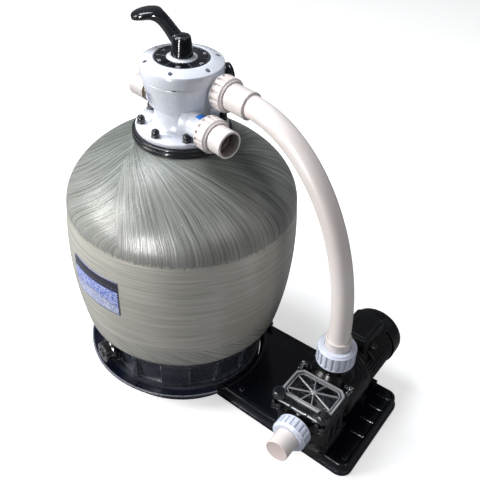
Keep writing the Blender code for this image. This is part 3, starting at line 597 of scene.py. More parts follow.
FIBRE = fibreglass()
# In the black plastics below, each glint colour is a highlight painted along the edges.
BLACK = moulded(
    "black_gloss", low=(0.0045, 0.0052, 0.0085), high=(0.0075, 0.0085, 0.0125), rough=0.17,
    coat=0.35, depth=0.00008, radius=0.0016, scuffs=0.35, dirt=((0.06, 0.06, 0.07), 0.25),
    painted_glint=((0.30, 0.32, 0.38), 0.55), sheen=0.32)
# The stand's glint is a highlight painted along its edges. Of its bands, the pale ring at r 0.2334
# is a highlight painted along the lip's crest; the ledge beyond r 0.21 and the lip's face beyond r
# 0.2362 are coloured darker.
STAND = moulded(
    "black_stand", low=(0.030, 0.034, 0.050), high=(0.048, 0.053, 0.072), rough=0.28,
    painted_glint=((0.62, 0.64, 0.70), 0.85),
    bands=((0.2100, 0.9, (0.0035, 0.006, 0.018)), (0.2334, 0.9, (0.26, 0.28, 0.34)),
           (0.2362, 1.0, (0.010, 0.012, 0.022))))
CAP = moulded(
    "black_cap", low=(0.0035, 0.004, 0.0065), high=(0.006, 0.0068, 0.0095), rough=0.13,
    painted_glint=((0.60, 0.62, 0.68), 0.35), sheen=0.8, coat=0.6)
PLATE = moulded(
    "black_plate", low=(0.0030, 0.0038, 0.0090), high=(0.0050, 0.0060, 0.0130), rough=0.19,
    coat=0.25, depth=0.00010, radius=0.0020, scuffs=0.5, dirt=((0.07, 0.07, 0.08), 0.22),
    painted_glint=((0.30, 0.32, 0.38), 0.35), sheen=0.30)
PUMP = moulded(
    "black_pump", low=(0.0032, 0.0035, 0.0045), high=(0.0058, 0.006, 0.0072), rough=0.24,
    grain=1500.0, depth=0.00010, radius=0.0014, scuffs=0.35, dirt=((0.05, 0.05, 0.05), 0.3),
    painted_glint=((0.26, 0.27, 0.30), 0.45), sheen=0.26)
MOTOR = moulded(
    "motor_paint", low=(0.0042, 0.0045, 0.0052), high=(0.0078, 0.008, 0.009), rough=0.30,
    grain=1900.0, depth=0.00012, dirt=((0.05, 0.05, 0.05), 0.35),
    painted_glint=((0.16, 0.17, 0.19), 0.40), sheen=0.28)
GREY = moulded("grey_plastic", low=(0.20, 0.21, 0.225), high=(0.27, 0.28, 0.295), rough=0.42,
               radius=0.0006)
DARK = moulded("dark_basket", low=(0.030, 0.031, 0.033), high=(0.055, 0.055, 0.056),
               rough=0.42, radius=0.0005)
RUBBER = moulded("rubber", low=(0.012, 0.012, 0.012), high=(0.022, 0.022, 0.022), rough=0.72,
                 radius=0.0004)
# In the white and pale plastics below, the crevice tint is shade painted into hollows and grooves.
ABS = moulded(
    "white_abs", low=(0.715, 0.75, 0.835), high=(0.775, 0.805, 0.885), rough=0.25,
    depth=0.00005, radius=0.0022, coat=0.2, sss=0.04,
    crevice_shade=((0.34, 0.37, 0.46), 0.012, 0.75))
ABS_NUT = moulded(
    "white_abs_nut", low=(0.68, 0.73, 0.87), high=(0.76, 0.80, 0.92), rough=0.28,
    depth=0.00005, radius=0.0005, coat=0.15, sss=0.04,
    crevice_shade=((0.26, 0.29, 0.42), 0.006, 0.9))
CREAM = {"low": (0.74, 0.685, 0.675), "high": (0.81, 0.76, 0.75)}
PVC = moulded("warm_pvc", **CREAM, rough=0.28, depth=0.00005, radius=0.0005, coat=0.15,
              sss=0.05, crevice_shade=((0.42, 0.34, 0.31), 0.010, 0.85))
# Its crevice tint reaches 6 cm and paints shade deep into the tail sockets.
PVC_TAIL = moulded("warm_pvc_tail", **CREAM, rough=0.28, depth=0.00005, radius=0.0006,
                   coat=0.15, sss=0.03, crevice_shade=((0.10, 0.07, 0.055), 0.060, 0.97))
LID_EDGE = moulded("clear_lid_edges", low=(0.20, 0.205, 0.22), high=(0.42, 0.42, 0.45),
                   rough=0.14, radius=0.0006, coat=0.6, depth=0.00003)
# pale strips for the lid's front lip: a painted highlight where the clear lip reflects light
LID_GLINT = moulded("clear_lid_glint", low=(0.55, 0.56, 0.57), high=(0.80, 0.81, 0.82),
                    rough=0.10, radius=0.0004, coat=0.8, depth=0.00002)
PINK = moulded("pale_pink", low=(0.82, 0.70, 0.67), high=(0.87, 0.76, 0.73), rough=0.34,
               depth=0.00005, radius=0.0008, sss=0.06)
WHITE_INK = moulded("white_print", low=(0.62, 0.64, 0.68), high=(0.70, 0.72, 0.76), rough=0.4,
                    radius=0.0002)
BLUE = moulded("blue_sticker", low=(0.02, 0.20, 0.72), high=(0.04, 0.28, 0.85), rough=0.3,
               radius=0.0002)
INK = moulded("blue_ink", low=(0.05, 0.08, 0.24), high=(0.10, 0.14, 0.34), rough=0.4,
              radius=0.0002)
HOSE = hose_pvc()
LABEL = label_print()
CLEAR = clear_plastic("clear_lid", tint=(0.80, 0.83, 0.87))
LENS = clear_plastic("clear_lens", tint=(0.93, 0.95, 0.97), rough=0.01, haze=0.02)
AMBER = clear_plastic("amber_clear", tint=(0.36, 0.28, 0.20), rough=0.06)
STEEL = metal("stainless", colour=(0.62, 0.62, 0.63), rough=0.26)
DARK_STEEL = metal("screw_steel", colour=(0.20, 0.20, 0.23), rough=0.35)
WASTE_PVC = moulded("warm_pvc_waste", low=(0.56, 0.525, 0.515), high=(0.62, 0.585, 0.575),
                    rough=0.30, depth=0.00005, radius=0.0006, coat=0.1, sss=0.03)

# ================================================================= tank shell
SEAM_Z, KNEE_Z = 0.474, 0.170  # where the barrel turns into the dome and into the foot
FOOT_DEPTH = 0.115


def barrel(z):
    return 0.2645 - 0.566 * (0.380 - z) ** 2


def shell_radius(z):
    if z > SEAM_Z:
        return barrel(SEAM_Z) * (1 - ((z - SEAM_Z) / 0.2) ** 2) ** 0.9
    if z < KNEE_Z:
        drop = min(1.0, (KNEE_Z - z) / FOOT_DEPTH)
        return barrel(KNEE_Z) * max(0.0, 1 - drop ** 1.5) ** (1 / 1.2)
    return barrel(z)


shell_heights = np.concatenate([
    np.linspace(0.6318, SEAM_Z, 46), np.linspace(SEAM_Z - 0.004, KNEE_Z, 46),
    KNEE_Z - FOOT_DEPTH * (1 - (1 - np.linspace(0.03, 1, 30)) ** 1.6)])
outer = [(shell_radius(z), z) for z in shell_heights]
inner = [(max(0.0, r - 0.006), z + (0.006 if z < 0.12 else 0.0) - (0.005 if z > 0.56 else 0.0))
         for r, z in outer][::-1]
inner[0] = (0.0, 0.061)
outer[-1] = (0.0, 0.055)
neck_outside = [(0.0755, 0.65), (0.0755, 0.6345), (0.0775, 0.6325)]
neck_inside = [(0.0695, 0.6265), (0.0695, 0.65)]
Piece("tank_shell").lathe(neck_outside + outer + inner[::3] + neck_inside,
                          steps=288).done(FIBRE, angle=50)

# ====================================================================== stand
LEDGE_GAP = (-31.0, 40.0)  # degrees; the ledge is open towards the pump
stand_profile = [
    (0.2075, 0.134), (0.2085, 0.13), (0.2065, 0.118), (0.1985, 0.106), (0.196, 0.1),
    *((0.196 - 0.003 * t, 0.1 - 0.048 * t) for t in np.linspace(0.04, 1, 22)),
    (0.194, 0.05), (0.197, 0.0486), (0.204, 0.0474), (0.213, 0.047), (0.222, 0.0482),
    (0.229, 0.0508), (0.2325, 0.053), (0.2343, 0.0536), (0.2358, 0.0534), (0.2368, 0.0527),
    (0.2371, 0.0515), (0.237, 0.0488), (0.236, 0.0472), (0.233, 0.046), (0.204, 0.0372),
    (0.2022, 0.036), (0.202, 0.034), (0.202, 0.0), (0.19, 0.0), (0.0, 0.0), (0.0, 0.005),
    (0.18, 0.005), (0.1845, 0.098), (0.1985, 0.12), (0.2048, 0.134)]


def stand_panels(angle, radius, height):
    """Six broad raised panels round the cup, with narrow wedges between them."""
    def off(first):
        return np.abs((np.degrees(angle) + first + 30) % 60 - 30)

    outside = (radius > 0.1905) & (radius < 0.2) & (height > 0.048) & (height < 0.1175)
    band = smooth(height, 0.049, 0.051) * smooth(height, 0.117, 0.105)
    panel = smooth(off(56.6), 10.2, 9.7)
    half = 0.9 + 1.3 * np.clip((0.118 - height) / 0.07, 0, 1)
    wedge = smooth(off(86.6), half + 0.5, half - 0.1)
    recess = (smooth(off(56.6), 9.2, 8.8) * smooth(height, 0.057, 0.059)
              * smooth(height, 0.104, 0.102))
    panel_lift = 0.01 - 0.0025 * np.clip((height - 0.05) / 0.07, 0, 1)
    wedge_lift = 0.012 - 0.11 * np.clip(height - 0.05, 0, 0.07)
    lift = band * (panel * panel_lift - recess * 0.0009 + wedge * wedge_lift)
    radius = radius + np.where(outside, lift, 0)
    return np.where(outside, np.minimum(radius, 0.2092), radius), height


gap_angles = [math.radians(LEDGE_GAP[0] + (LEDGE_GAP[1] - LEDGE_GAP[0]) * i / 24)
              for i in range(25)]
gap_outline = [(0.1988 * math.cos(a), 0.1988 * math.sin(a)) for a in gap_angles]
gap_outline += [(0.27 * math.cos(a), 0.27 * math.sin(a)) for a in reversed(gap_angles)]
ledge_gap = Piece("ledge_gap").prism(gap_outline, [(0.0, 0.0362), (0.0, 0.07)])
Piece("tank_stand").lathe(stand_profile, steps=1080, mod=stand_panels).done(
    STAND, angle=32, cutters=ledge_gap)

# ================================================================= pump plate
PLATE_CORNERS = [(0.120, -0.090), (0.555, -0.116), (0.555, 0.160), (0.120, 0.166)]
PLATE_CORNER_R = 0.028
PLATE_TANK_R = 0.2036  # the arc the plate's tank side follows


def plate_outline():
    near_front, far_front, far_back, near_back = PLATE_CORNERS

    def meets_tank(x, anchor, slope):
        """Where a long side meets the arc, searched from a starting x."""
        for _ in range(20):
            x = math.sqrt(PLATE_TANK_R ** 2 - (anchor[1] + slope * (x - anchor[0])) ** 2)
        return x, anchor[1] + slope * (x - anchor[0])

    def slope(a, b):
        return (b[1] - a[1]) / (b[0] - a[0])

    front = meets_tank(0.18, near_front, slope(near_front, far_front))
    back = meets_tank(0.12, far_back, slope(far_back, near_back))
    points = [front]
    for before, here, after in ((near_front, far_front, far_back),
                                (far_front, far_back, near_back)):
        a = (Vector(before) - Vector(here)).normalized()
        b = (Vector(after) - Vector(here)).normalized()
        centre = Vector(here) + (a + b).normalized() * PLATE_CORNER_R * math.sqrt(2)
        for i in range(17):
            t = i / 16 * PI / 2
            out = (-b * math.cos(t) - a * math.sin(t)).normalized()
            points.append(tuple(centre + out * PLATE_CORNER_R))
    points.append(back)
    start, end = math.atan2(back[1], back[0]), math.atan2(front[1], front[0])
    for i in range(1, 60):
        a = start + (end - start) * i / 60
        points.append((PLATE_TANK_R * math.cos(a), PLATE_TANK_R * math.sin(a)))
    return points


plate = Piece("pump_base").prism(plate_outline(), [
    (0.0, 0.0), (0.0, 0.0075), (0.0006, 0.0088), (0.003, 0.0095), (0.0036, 0.0105),
    (0.0042, 0.029), (0.005, 0.0318), (0.0066, 0.0334), (0.0086, 0.034), (0.0125, 0.034),
    (0.014, 0.0334), (0.015, 0.0326)])
# raised bars: (x, y, length)
for x, y, length in ((0.525, 0.085, 0.034), (0.525, 0.04, 0.034), (0.525, -0.01, 0.034),
                     (0.528, 0.126, 0.04), (0.36, 0.142, 0.11)):
    plate.box((length, 0.005, 0.0022), (x, y, 0.033), 0.0008)
for x, y in ((0.236, -0.066), (0.31, 0.098), (0.236, 0.128), (0.533, -0.086)):
    plate.lathe([(0.0, 0.0338), (0.0048, 0.0338), (0.0058, 0.0322), (0.0, 0.0322)],
                at=(x, y, 0), steps=32)
plate.done(PLATE, angle=30)

# ================================================================== neck ring
Piece("neck_ring").lathe([
    (0.1048, 0.65), (0.1064, 0.649), (0.1064, 0.6438), (0.1052, 0.643), (0.1052, 0.6412),
    (0.1068, 0.6404), (0.107, 0.6345), (0.1055, 0.6328), (0.076, 0.6328), (0.076, 0.65)],
    steps=192, fillet=0.0008).done(BLACK, angle=32)

# ======================================================================= label
LABEL_HEADING, LABEL_WIDTH = -97.5, 31.0  # degrees round the barrel
LABEL_Z, LABEL_HEIGHT = 0.359, 0.093
LABEL_COLUMNS, LABEL_ROWS = 48, 24


def label_point(u, v):
    a = math.radians(LABEL_HEADING + LABEL_WIDTH * (u - 0.5))
    z = LABEL_Z + LABEL_HEIGHT * (v - 0.5)
    r = barrel(z) + 0.0016
    return (r * math.cos(a), r * math.sin(a), z)


label_v = [j / LABEL_ROWS for j in range(LABEL_ROWS + 1)]
uv_sheet("data_label", [[label_point(i / LABEL_COLUMNS, v) for i in range(LABEL_COLUMNS + 1)]
                        for v in label_v], label_v, LABEL, wall=("Film", 0.0007))

# ======================================================================= drain
DRAIN = (Vector((0, 0, 0.088)), heading(-109))  # ports are (origin, axis)

Piece("drain_fitting").lathe([
    (0.014, 0.229), (0.014, 0.2096), (0.02, 0.209), (0.02, 0.205), (0.015, 0.204),
    (0.014, 0.2), (0.014, 0.096), (0.0095, 0.096), (0.0095, 0.229)],
    *DRAIN, steps=64, fillet=0.0006).done(BLACK)


def cap_ribs(angle, radius, height):
    swing = np.cos(angle * 12)
    wave = 0.5 + 0.5 * np.sign(swing) * np.abs(swing) ** 0.35
    grip = (radius > 0.0225) * smooth(height, 0.215, 0.216) * smooth(height, 0.233, 0.2312)
    return radius - grip * 0.0016 * (1 - wave), height


cap = Piece("drain_cap")
cap.lathe([
    (0.0, 0.235), (0.022, 0.235), (0.0246, 0.2338), (0.0254, 0.231), (0.0254, 0.229),
    (0.0254, 0.222), (0.0254, 0.218), (0.0254, 0.215), (0.0266, 0.214), (0.027, 0.213),
    (0.027, 0.2104), (0.0264, 0.2098), (0.0145, 0.2098), (0.0145, 0.23), (0.0, 0.23)],
    *DRAIN, steps=288, mod=cap_ribs)
cap.lathe([(0.0, 0.239), (0.012, 0.239), (0.0132, 0.238), (0.0136, 0.2336), (0.0, 0.2336)],
          *DRAIN, steps=6, fillet=0.0006)
cap.done(CAP, body="drain_plug", angle=30)

# ======================================================================= valve
INLET = (Vector((0.05, 0.0173, 0.757)), heading(-10))
RETURN = (Vector((0.0452, -0.0336, 0.692)), heading(-12))
WASTE = (Vector((0.0, -0.012, 0.7055)), heading(172))
GAUGE = (Vector((-0.0008, -0.0014, 0.75)), heading(60))
FLANGE_SPOTS = [(0.0865 * math.cos(i * PI / 4), 0.0865 * math.sin(i * PI / 4), 0)
                for i in range(8)]
SCREW_SPOTS = [heading(-8 - 60 * i) * 0.0745 for i in range(6)]

valve = Piece("valve_body")
valve.lathe([
    (0.0822, 0.7715), (0.0836, 0.7703), (0.0838, 0.768), (0.083, 0.764), (0.0815, 0.759),
    (0.0694, 0.7118), (0.069, 0.7104), (0.068, 0.7094), (0.0612, 0.7078), (0.0594, 0.706),
    (0.059, 0.703), (0.0588, 0.69), (0.0592, 0.68), (0.0602, 0.674), (0.0628, 0.668),
    (0.0672, 0.6634), (0.073, 0.6614), (0.097, 0.6612), (0.0986, 0.66), (0.099, 0.6585),
    (0.099, 0.6525), (0.098, 0.6507), (0.053, 0.6507), (0.053, 0.712), (0.049, 0.716),
    (0.0285, 0.716), (0.0285, 0.668), (0.0244, 0.668), (0.0244, 0.731), (0.066, 0.731),
    (0.066, 0.748), (0.074, 0.76), (0.074, 0.7715)], steps=224)
for spot in FLANGE_SPOTS:
    valve.lathe([(0.0044, 0.662), (0.0122, 0.662), (0.013, 0.6606), (0.0044, 0.66)],
                at=spot, steps=40, fillet=0.0004)
valve.lathe([
    (0.023, 0.062), (0.0315, 0.062), (0.0315, 0.0475), (0.03, 0.0455), (0.0262, 0.044),
    (0.025, 0.04), (0.025, 0.034), (0.0264, 0.03), (0.03, 0.0262), (0.019, 0.0262),
    (0.019, 0.062)], *INLET, fillet=0.0006)
valve.lathe([
    (0.0315, 0.074), (0.0315, 0.06), (0.0296, 0.0575), (0.0262, 0.052), (0.0252, 0.044),
    (0.0252, 0.03), (0.0262, 0.02), (0.03, 0.01), (0.034, 0.004), (0.018, 0.004),
    (0.018, 0.074)], *RETURN, fillet=0.0006)
valve.lathe([
    (0.024, 0.0756), (0.024, 0.0722), (0.0222, 0.0706), (0.0216, 0.068), (0.0216, 0.06),
    (0.0235, 0.054), (0.018, 0.054), (0.018, 0.0756)], *WASTE, fillet=0.0006)
valve.lathe([(0.0, 0.085), (0.008, 0.085), (0.0085, 0.084), (0.0088, 0.077), (0.0, 0.077)],
            *GAUGE, steps=48)
valve.done(ABS, angle=50)

lid_holes = Piece("lid_holes")
for spot in SCREW_SPOTS:
    lid_holes.lathe([(0.0, 0.82), (0.005, 0.82), (0.005, 0.7935), (0.0, 0.7935)],
                    at=spot, steps=40)
Piece("valve_lid").lathe([
    (0.0093, 0.8095), (0.0225, 0.8095), (0.0235, 0.8085), (0.0235, 0.8046), (0.0576, 0.8046),
    (0.0576, 0.806), (0.0584, 0.8068), (0.061, 0.8069), (0.064, 0.8062), (0.0846, 0.7992),
    (0.0858, 0.7984), (0.0864, 0.7968), (0.0866, 0.79), (0.0864, 0.7748), (0.086, 0.7732),
    (0.0848, 0.7726), (0.0785, 0.7726), (0.074, 0.7905), (0.016, 0.7925), (0.016, 0.785),
    (0.0093, 0.785)], steps=224).done(ABS, angle=24, cutters=lid_holes)
screws = Piece("lid_screws")
for spot in SCREW_SPOTS:
    screws.lathe([(0.0, 0.7962), (0.0014, 0.7952), (0.003, 0.7958), (0.004, 0.795),
                  (0.004, 0.7935), (0.0, 0.7935)], at=spot, steps=32)
screws.done(DARK_STEEL, replaces=False)

# the small notch, a dark block of painted shade, and the dark ring of painted shadow on the line
# between body and lid
notch = Piece("lid_notch")
notch.box((0.0022, 0.0078, 0.0017), (0.0858, 0, 0.7722), 0.0004, turn=about_z(-61.6))
notch.done(RUBBER, replaces=False)
Piece("joint_shadow_line").lathe(
    [(0.0822, 0.7727), (0.0822, 0.7714), (0.079, 0.7714), (0.079, 0.7727)],
    steps=160).done(RUBBER, replaces=False)

# index plate: six dividers, and two printed marks between each pair
index = Piece("index_plate")
index.lathe([
    (0.057, 0.8062), (0.0566, 0.8067), (0.0545, 0.8067), (0.054, 0.8059), (0.03, 0.8059),
    (0.0292, 0.8063), (0.0262, 0.8063), (0.0256, 0.8057), (0.0239, 0.8057), (0.0239, 0.8049),
    (0.057, 0.8049)], steps=192)
for i in range(6):
    index.box((0.0225, 0.0008, 0.0006), (0.042, 0, 0.806), 0.0002, turn=about_z(30 + 60 * i))
    for x, length in ((0.05, 0.01), (0.0465, 0.006 + 0.0008 * (i % 3))):
        index.box((0.0012, length, 0.0003), (x, 0, 0.806), 0.0001, turn=about_z(60 * i), mat=1)
index.done(BLACK, WHITE_INK)


def ring_teeth(angle, radius, height):
    teeth = smooth(np.cos(angle * 30), -0.2, 0.2)
    return radius - (radius > 0.03) * 0.0016 * (1 - teeth), height


Piece("position_ring").lathe(
    [(0.0238, 0.8086), (0.0302, 0.8076), (0.0318, 0.8064), (0.0318, 0.8058), (0.024, 0.8058)],
    steps=480, mod=ring_teeth).done(ABS, angle=30, replaces=False)

# domed hexagon bolts through the flange
BOLT_DOME_R, BOLT_DOME_Z = 0.0086, 0.6716
dome_curve = [(BOLT_DOME_R * math.sin(t), BOLT_DOME_Z + BOLT_DOME_R * math.cos(t))
              for t in np.linspace(0.12, PI / 2, 12)]
for i, spot in enumerate(FLANGE_SPOTS):
    bolt = Piece(f"flange_bolt_{i + 1}")
    bolt.lathe([(0.0, 0.6802), *dome_curve, (0.0086, 0.669), (0.0078, 0.6676),
                (0.0076, 0.6662), (0.0, 0.6662)], at=spot, steps=48)
    bolt.lathe([(0.0, 0.6668), (0.0096, 0.6668), (0.01, 0.666), (0.01, 0.6624), (0.0, 0.6624)],
               at=spot, steps=6, fillet=0.0006)
    bolt.lathe([(0.0, 0.663), (0.0038, 0.663), (0.0038, 0.638), (0.0, 0.638)],
               at=spot, steps=24)
    bolt.done(BLACK, angle=34)

# blue sticker wrapped part way round the return port
port, axis = RETURN
to_sticker = Vector((0.080, -0.041, 0.717)) - port
reach = to_sticker.dot(axis)
outward = (to_sticker - axis * reach).normalized() * 0.0262
rows = []
for a in np.linspace(-24.0, 20.0, 16):
    turned_out = Quaternion(axis, math.radians(a)) @ outward
    rows.append([port + axis * (reach + t + 0.0008 * math.sin(a * 0.5)) + turned_out
                 for t in (-0.0065, -0.003, 0.0005, 0.004, 0.007)])
sticker = Piece("blue_sticker").skin(rows, closed=False, caps=False)
solidify(sticker.done(BLUE, replaces=False), "Film", 0.0006)


def bowl_radius(z):
    """Just outside the valve's conical bowl."""
    return 0.0694 + (z - 0.7118) * (0.0815 - 0.0694) / (0.7590 - 0.7118) + 0.0005


def bowl_patch(piece, lift, from_angle, to_angle, z0, z1, mat):
    rows = []
    for a in np.linspace(from_angle, to_angle, 10):
        c, s = math.cos(math.radians(a)), math.sin(math.radians(a))
        rows.append([((lift + bowl_radius(z)) * c, (lift + bowl_radius(z)) * s, z)
                     for z in (z0, z1)])
    piece.skin(rows, closed=False, caps=False, mat=mat)


# white sticker with six printed lines
side_sticker = Piece("side_sticker")
bowl_patch(side_sticker, 0.0, -122.0, -101.0, 0.7215, 0.748, mat=1)
for j in range(6):
    bowl_patch(side_sticker, 0.0004, -119.5, -106.0 + 2.5 * (j % 2), 0.7238 + 0.004 * j,
               0.7254 + 0.004 * j, mat=0)
side_sticker.done(INK, WHITE_INK, replaces=False)

# ---------------------------------------------- CAD pieces kept as they are
KEPT = {
    "rotor": BLACK, "handle_pin": STEEL, "spider_gasket": RUBBER, "lid_gasket": RUBBER,
    "standpipe": PVC, "lateral_hub": GREY, "top_diffuser": GREY, "impeller": GREY,
    "cooling_fan": GREY, "motor_shaft": STEEL, "seal_plate": PUMP,
    **{f"lateral_{i}": GREY for i in range(1, 7)}}
for name, material in KEPT.items():
    node = NODES[name]
    node.data.materials.clear()
    node.data.materials.append(material)
    if name != "spider_gasket":
        edge = node.modifiers.new("Edge", "BEVEL")
        edge.width, edge.segments = 0.0004, 2
        edge.limit_method, edge.angle_limit = "ANGLE", math.radians(40)

# a copy of the spring rides on the spindle carrier; the spring shortens against the lid as the
# rotor lifts, but nothing here shortens the copy
coil = link_object("vis_rotor_spring", NODES["rotor_spring"].data.copy())
coil.matrix_world = NODES["rotor_spring"].matrix_world.copy()
coil.data.materials.clear()
coil.data.materials.append(STEEL)
coil.data.shade_smooth()
bpy.context.view_layer.update()
coil_heights = [(coil.matrix_world @ v.co).z for v in coil.data.vertices]
register(coil, "spindle_carrier", STEEL, "rotor_spring")
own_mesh(coil)

# --------------------------------------------------------------------- handle
PIN = Vector((0, 0, 0.830))


def fluted(angle, radius, height):
    wave = 0.5 + 0.5 * np.cos(angle * 8)
    low = smooth(height, 0.0095, -0.0120) * (radius > 0.012)
    return radius - low * 0.0003 * wave ** 0.6, height


handle = Piece("handle")
handle.lathe([
    (0.0, 0.0204), (0.015, 0.0204), (0.0166, 0.0199), (0.0175, 0.0186), (0.018, 0.0165),
    (0.0187, 0.013), (0.0196, 0.007), (0.0206, -0.001), (0.0217, -0.009), (0.0228, -0.0165),
    (0.023, -0.019), (0.0222, -0.0202), (0.0, -0.0202)], at=PIN, steps=192, mod=fluted)
handle.lathe([(0.0, 0.0212), (0.013, 0.0212), (0.0142, 0.0207), (0.0148, 0.0196), (0.0, 0.019)],
             at=PIN)
# the arm, reaching towards -X:
# (distance from the pin, height above it, half width, half thickness, pitch in degrees)
ARM = np.array([
    (-0.006, 0.0, 0.014, 0.012, 16), (0.003, 0.0045, 0.014, 0.0124, 30),
    (0.012, 0.0108, 0.0138, 0.0122, 39), (0.022, 0.0192, 0.0132, 0.0114, 41),
    (0.032, 0.0278, 0.0128, 0.0108, 39), (0.042, 0.0354, 0.013, 0.0104, 34),
    (0.05, 0.0402, 0.0138, 0.0102, 27), (0.056, 0.043, 0.0152, 0.01, 20),
    (0.062, 0.0448, 0.0178, 0.0099, 13), (0.069, 0.0457, 0.023, 0.0098, 5),
    (0.076, 0.0456, 0.0282, 0.0097, -3), (0.084, 0.0446, 0.0322, 0.0096, -9),
    (0.092, 0.043, 0.0336, 0.0095, -13), (0.099, 0.0412, 0.0328, 0.0093, -16),
    (0.105, 0.0394, 0.03, 0.0089, -18), (0.1095, 0.0379, 0.0248, 0.0082, -20),
    (0.1125, 0.0368, 0.0178, 0.0068, -22), (0.1142, 0.0361, 0.008, 0.004, -22)])
arm_run = np.concatenate([[0], np.cumsum(np.hypot(np.diff(ARM[:, 0]), np.diff(ARM[:, 1])))])
arm_fine = np.linspace(0, arm_run[-1], 90)


def eased(column):
    """A column of ARM as a smooth cubic through its stations, at 90 places."""
    grade = np.gradient(ARM[:, column], arm_run)
    i = np.clip(np.searchsorted(arm_run, arm_fine) - 1, 0, len(arm_run) - 2)
    h = arm_run[i + 1] - arm_run[i]
    t = (arm_fine - arm_run[i]) / h
    return ((2 * t ** 3 - 3 * t ** 2 + 1) * ARM[i, column]
            + (t ** 3 - 2 * t ** 2 + t) * h * grade[i]
            + (-2 * t ** 3 + 3 * t ** 2) * ARM[i + 1, column]
            + (t ** 3 - t ** 2) * h * grade[i + 1])


def arm_ring(reach, rise, width, thick, pitch):
    """A squarish section: dished towards the tip, hollowed on top along the shank."""
    cos_pitch, sin_pitch = math.cos(math.radians(pitch)), math.sin(math.radians(pitch))
    ring = []
    for a in np.linspace(0, 2 * PI, 64, endpoint=False):
        c, s = math.cos(a), math.sin(a)
        y = max(width, 0.002) * math.copysign(abs(c) ** 0.70, c)
        n = max(thick, 0.001) * math.copysign(abs(s) ** 0.62, s)
        dish = 0.0030 * (y / 0.034) ** 2 * smooth(reach, 0.050, 0.080)
        hollow = 0.0
        if s > 0.3:
            hollow = (0.0030 * smooth(abs(y), width * 0.72, width * 0.5)
                      * smooth(reach, 0.016, 0.022) * smooth(reach, 0.052, 0.042))
        n = n - dish - hollow
        ring.append(Vector((-(reach - n * sin_pitch), y, rise + n * cos_pitch)) + PIN)
    return ring


handle.skin([arm_ring(*station) for station in zip(*(eased(c) for c in range(5)))])
handle.done(BLACK, body="handle_lever", angle=42)

# ===================================================================== unions
PUMP_X = 0.440
SUCTION = (Vector((PUMP_X, -0.140, 0.148)), Vector((0, -1, 0)))
DISCHARGE = (Vector((PUMP_X, -0.015, 0.0)), UP)


def pads(count, lift, low, high, duty, floor):
    """Raised pads round a nut, from low to high, on radii above floor."""
    def mod(angle, radius, height):
        phase = (angle * count / (2 * PI)) % 1.0
        pad = smooth(np.abs(phase - 0.5) * 2, duty + 0.07, duty - 0.07)
        where = ((radius > floor) * smooth(height, low, low + 0.0014)
                 * smooth(height, high, high - 0.0014))
        return radius + where * lift * (pad - 1.0), height
    return mod


def union_nut(name, port, low, high, r, lip, count, mat, lift=0.0030, duty=0.62):
    """A nut from low to high along the port; lip is the radius of its mouth."""
    side_length = high - low - 0.0082
    profile = [
        (lip, high), (r - 0.0052, high), (r - 0.004, high - 0.0008),
        (r - 0.0034, high - 0.0026), (r - 0.0012, high - 0.004), (r, high - 0.0052),
        *((r, high - 0.0052 - side_length * t) for t in np.linspace(0.04, 1, 22)),
        (r, low + 0.0012), (r - 0.0006, low), (0.0325, low), (0.0325, high - 0.006),
        (lip, high - 0.006)]
    ribs = pads(count, lift, low + 0.003, high - 0.0062, duty, floor=r - 0.0008)
    Piece(name + "_nut").lathe(profile, *port, steps=count * 24, mod=ribs).done(
        mat, body=name + "_union", angle=30)


union_nut("inlet", INLET, 0.044, 0.075, r=0.0362, lip=0.0294, count=16, mat=PVC)
union_nut("return", RETURN, 0.056, 0.087, r=0.0362, lip=0.0294, count=16, mat=PVC)
union_nut("suction", SUCTION, 0.027, 0.058, r=0.0396, lip=0.027, count=20, mat=ABS_NUT,
          lift=0.0026, duty=0.55)
union_nut("discharge", DISCHARGE, 0.236, 0.28, r=0.0432, lip=0.0294, count=20, mat=ABS_NUT,
          duty=0.58)


def tail(name, port, face, collar, end, r, socket, socket_from, bead=True):
    """A pipe tail from its face to its end, with a collar and an open socket."""
    bore = 0.019
    piece = Piece(name + "_tail").lathe([
        (socket, end), (r - 0.0008, end), (r, end - 0.0008), (r, collar), (0.0312, collar),
        (0.0312, face), (bore, face), (bore, socket_from), (socket, socket_from)],
        *port, steps=128, fillet=0.0005)
    if bead:
        piece.lathe([(r + 0.0007, end - 0.001), (r + 0.0007, end - 0.0032),
                     (r - 0.0004, end - 0.004), (r - 0.0004, end - 0.0004)],
                    *port, steps=128, fillet=0.0004)
    piece.done(PVC_TAIL, angle=30)


tail("inlet", INLET, 0.0624, 0.0682, 0.128, r=0.0284, socket=0.0243, socket_from=0.095)
tail("return", RETURN, 0.0744, 0.0802, 0.124, r=0.0282, socket=0.0243, socket_from=0.096)
tail("suction", SUCTION, 0.0444, 0.051, 0.097, r=0.026, socket=0.0217, socket_from=0.07,
     bead=False)
tail("discharge", DISCHARGE, 0.2464, 0.252, 0.302, r=0.0284, socket=0.0243,
     socket_from=0.264)
Piece("suction_plug").lathe([
    (0.0, 0.099), (0.0225, 0.099), (0.024, 0.0995), (0.0256, 0.0995), (0.0262, 0.0988),
    (0.0262, 0.0974), (0.0213, 0.0974), (0.0213, 0.075), (0.0, 0.075)], *SUCTION).done(
    PINK, body="shipping_plug", angle=34)

Piece("sight_glass").lathe(
    [(0.024, 0.088), (0.024, 0.076), (0.018, 0.076), (0.018, 0.088)],
    *WASTE, fillet=0.0006).done(AMBER)
Piece("waste_tail").lathe([
    (0.0214, 0.131), (0.023, 0.131), (0.0234, 0.1304), (0.0234, 0.093), (0.0239, 0.0922),
    (0.024, 0.0912), (0.024, 0.0886), (0.018, 0.0886), (0.018, 0.104), (0.0214, 0.104)],
    *WASTE, fillet=0.0005).done(WASTE_PVC)

# ======================================================================= hose
HOSE_R, HOSE_SIDES = 0.0237, 56


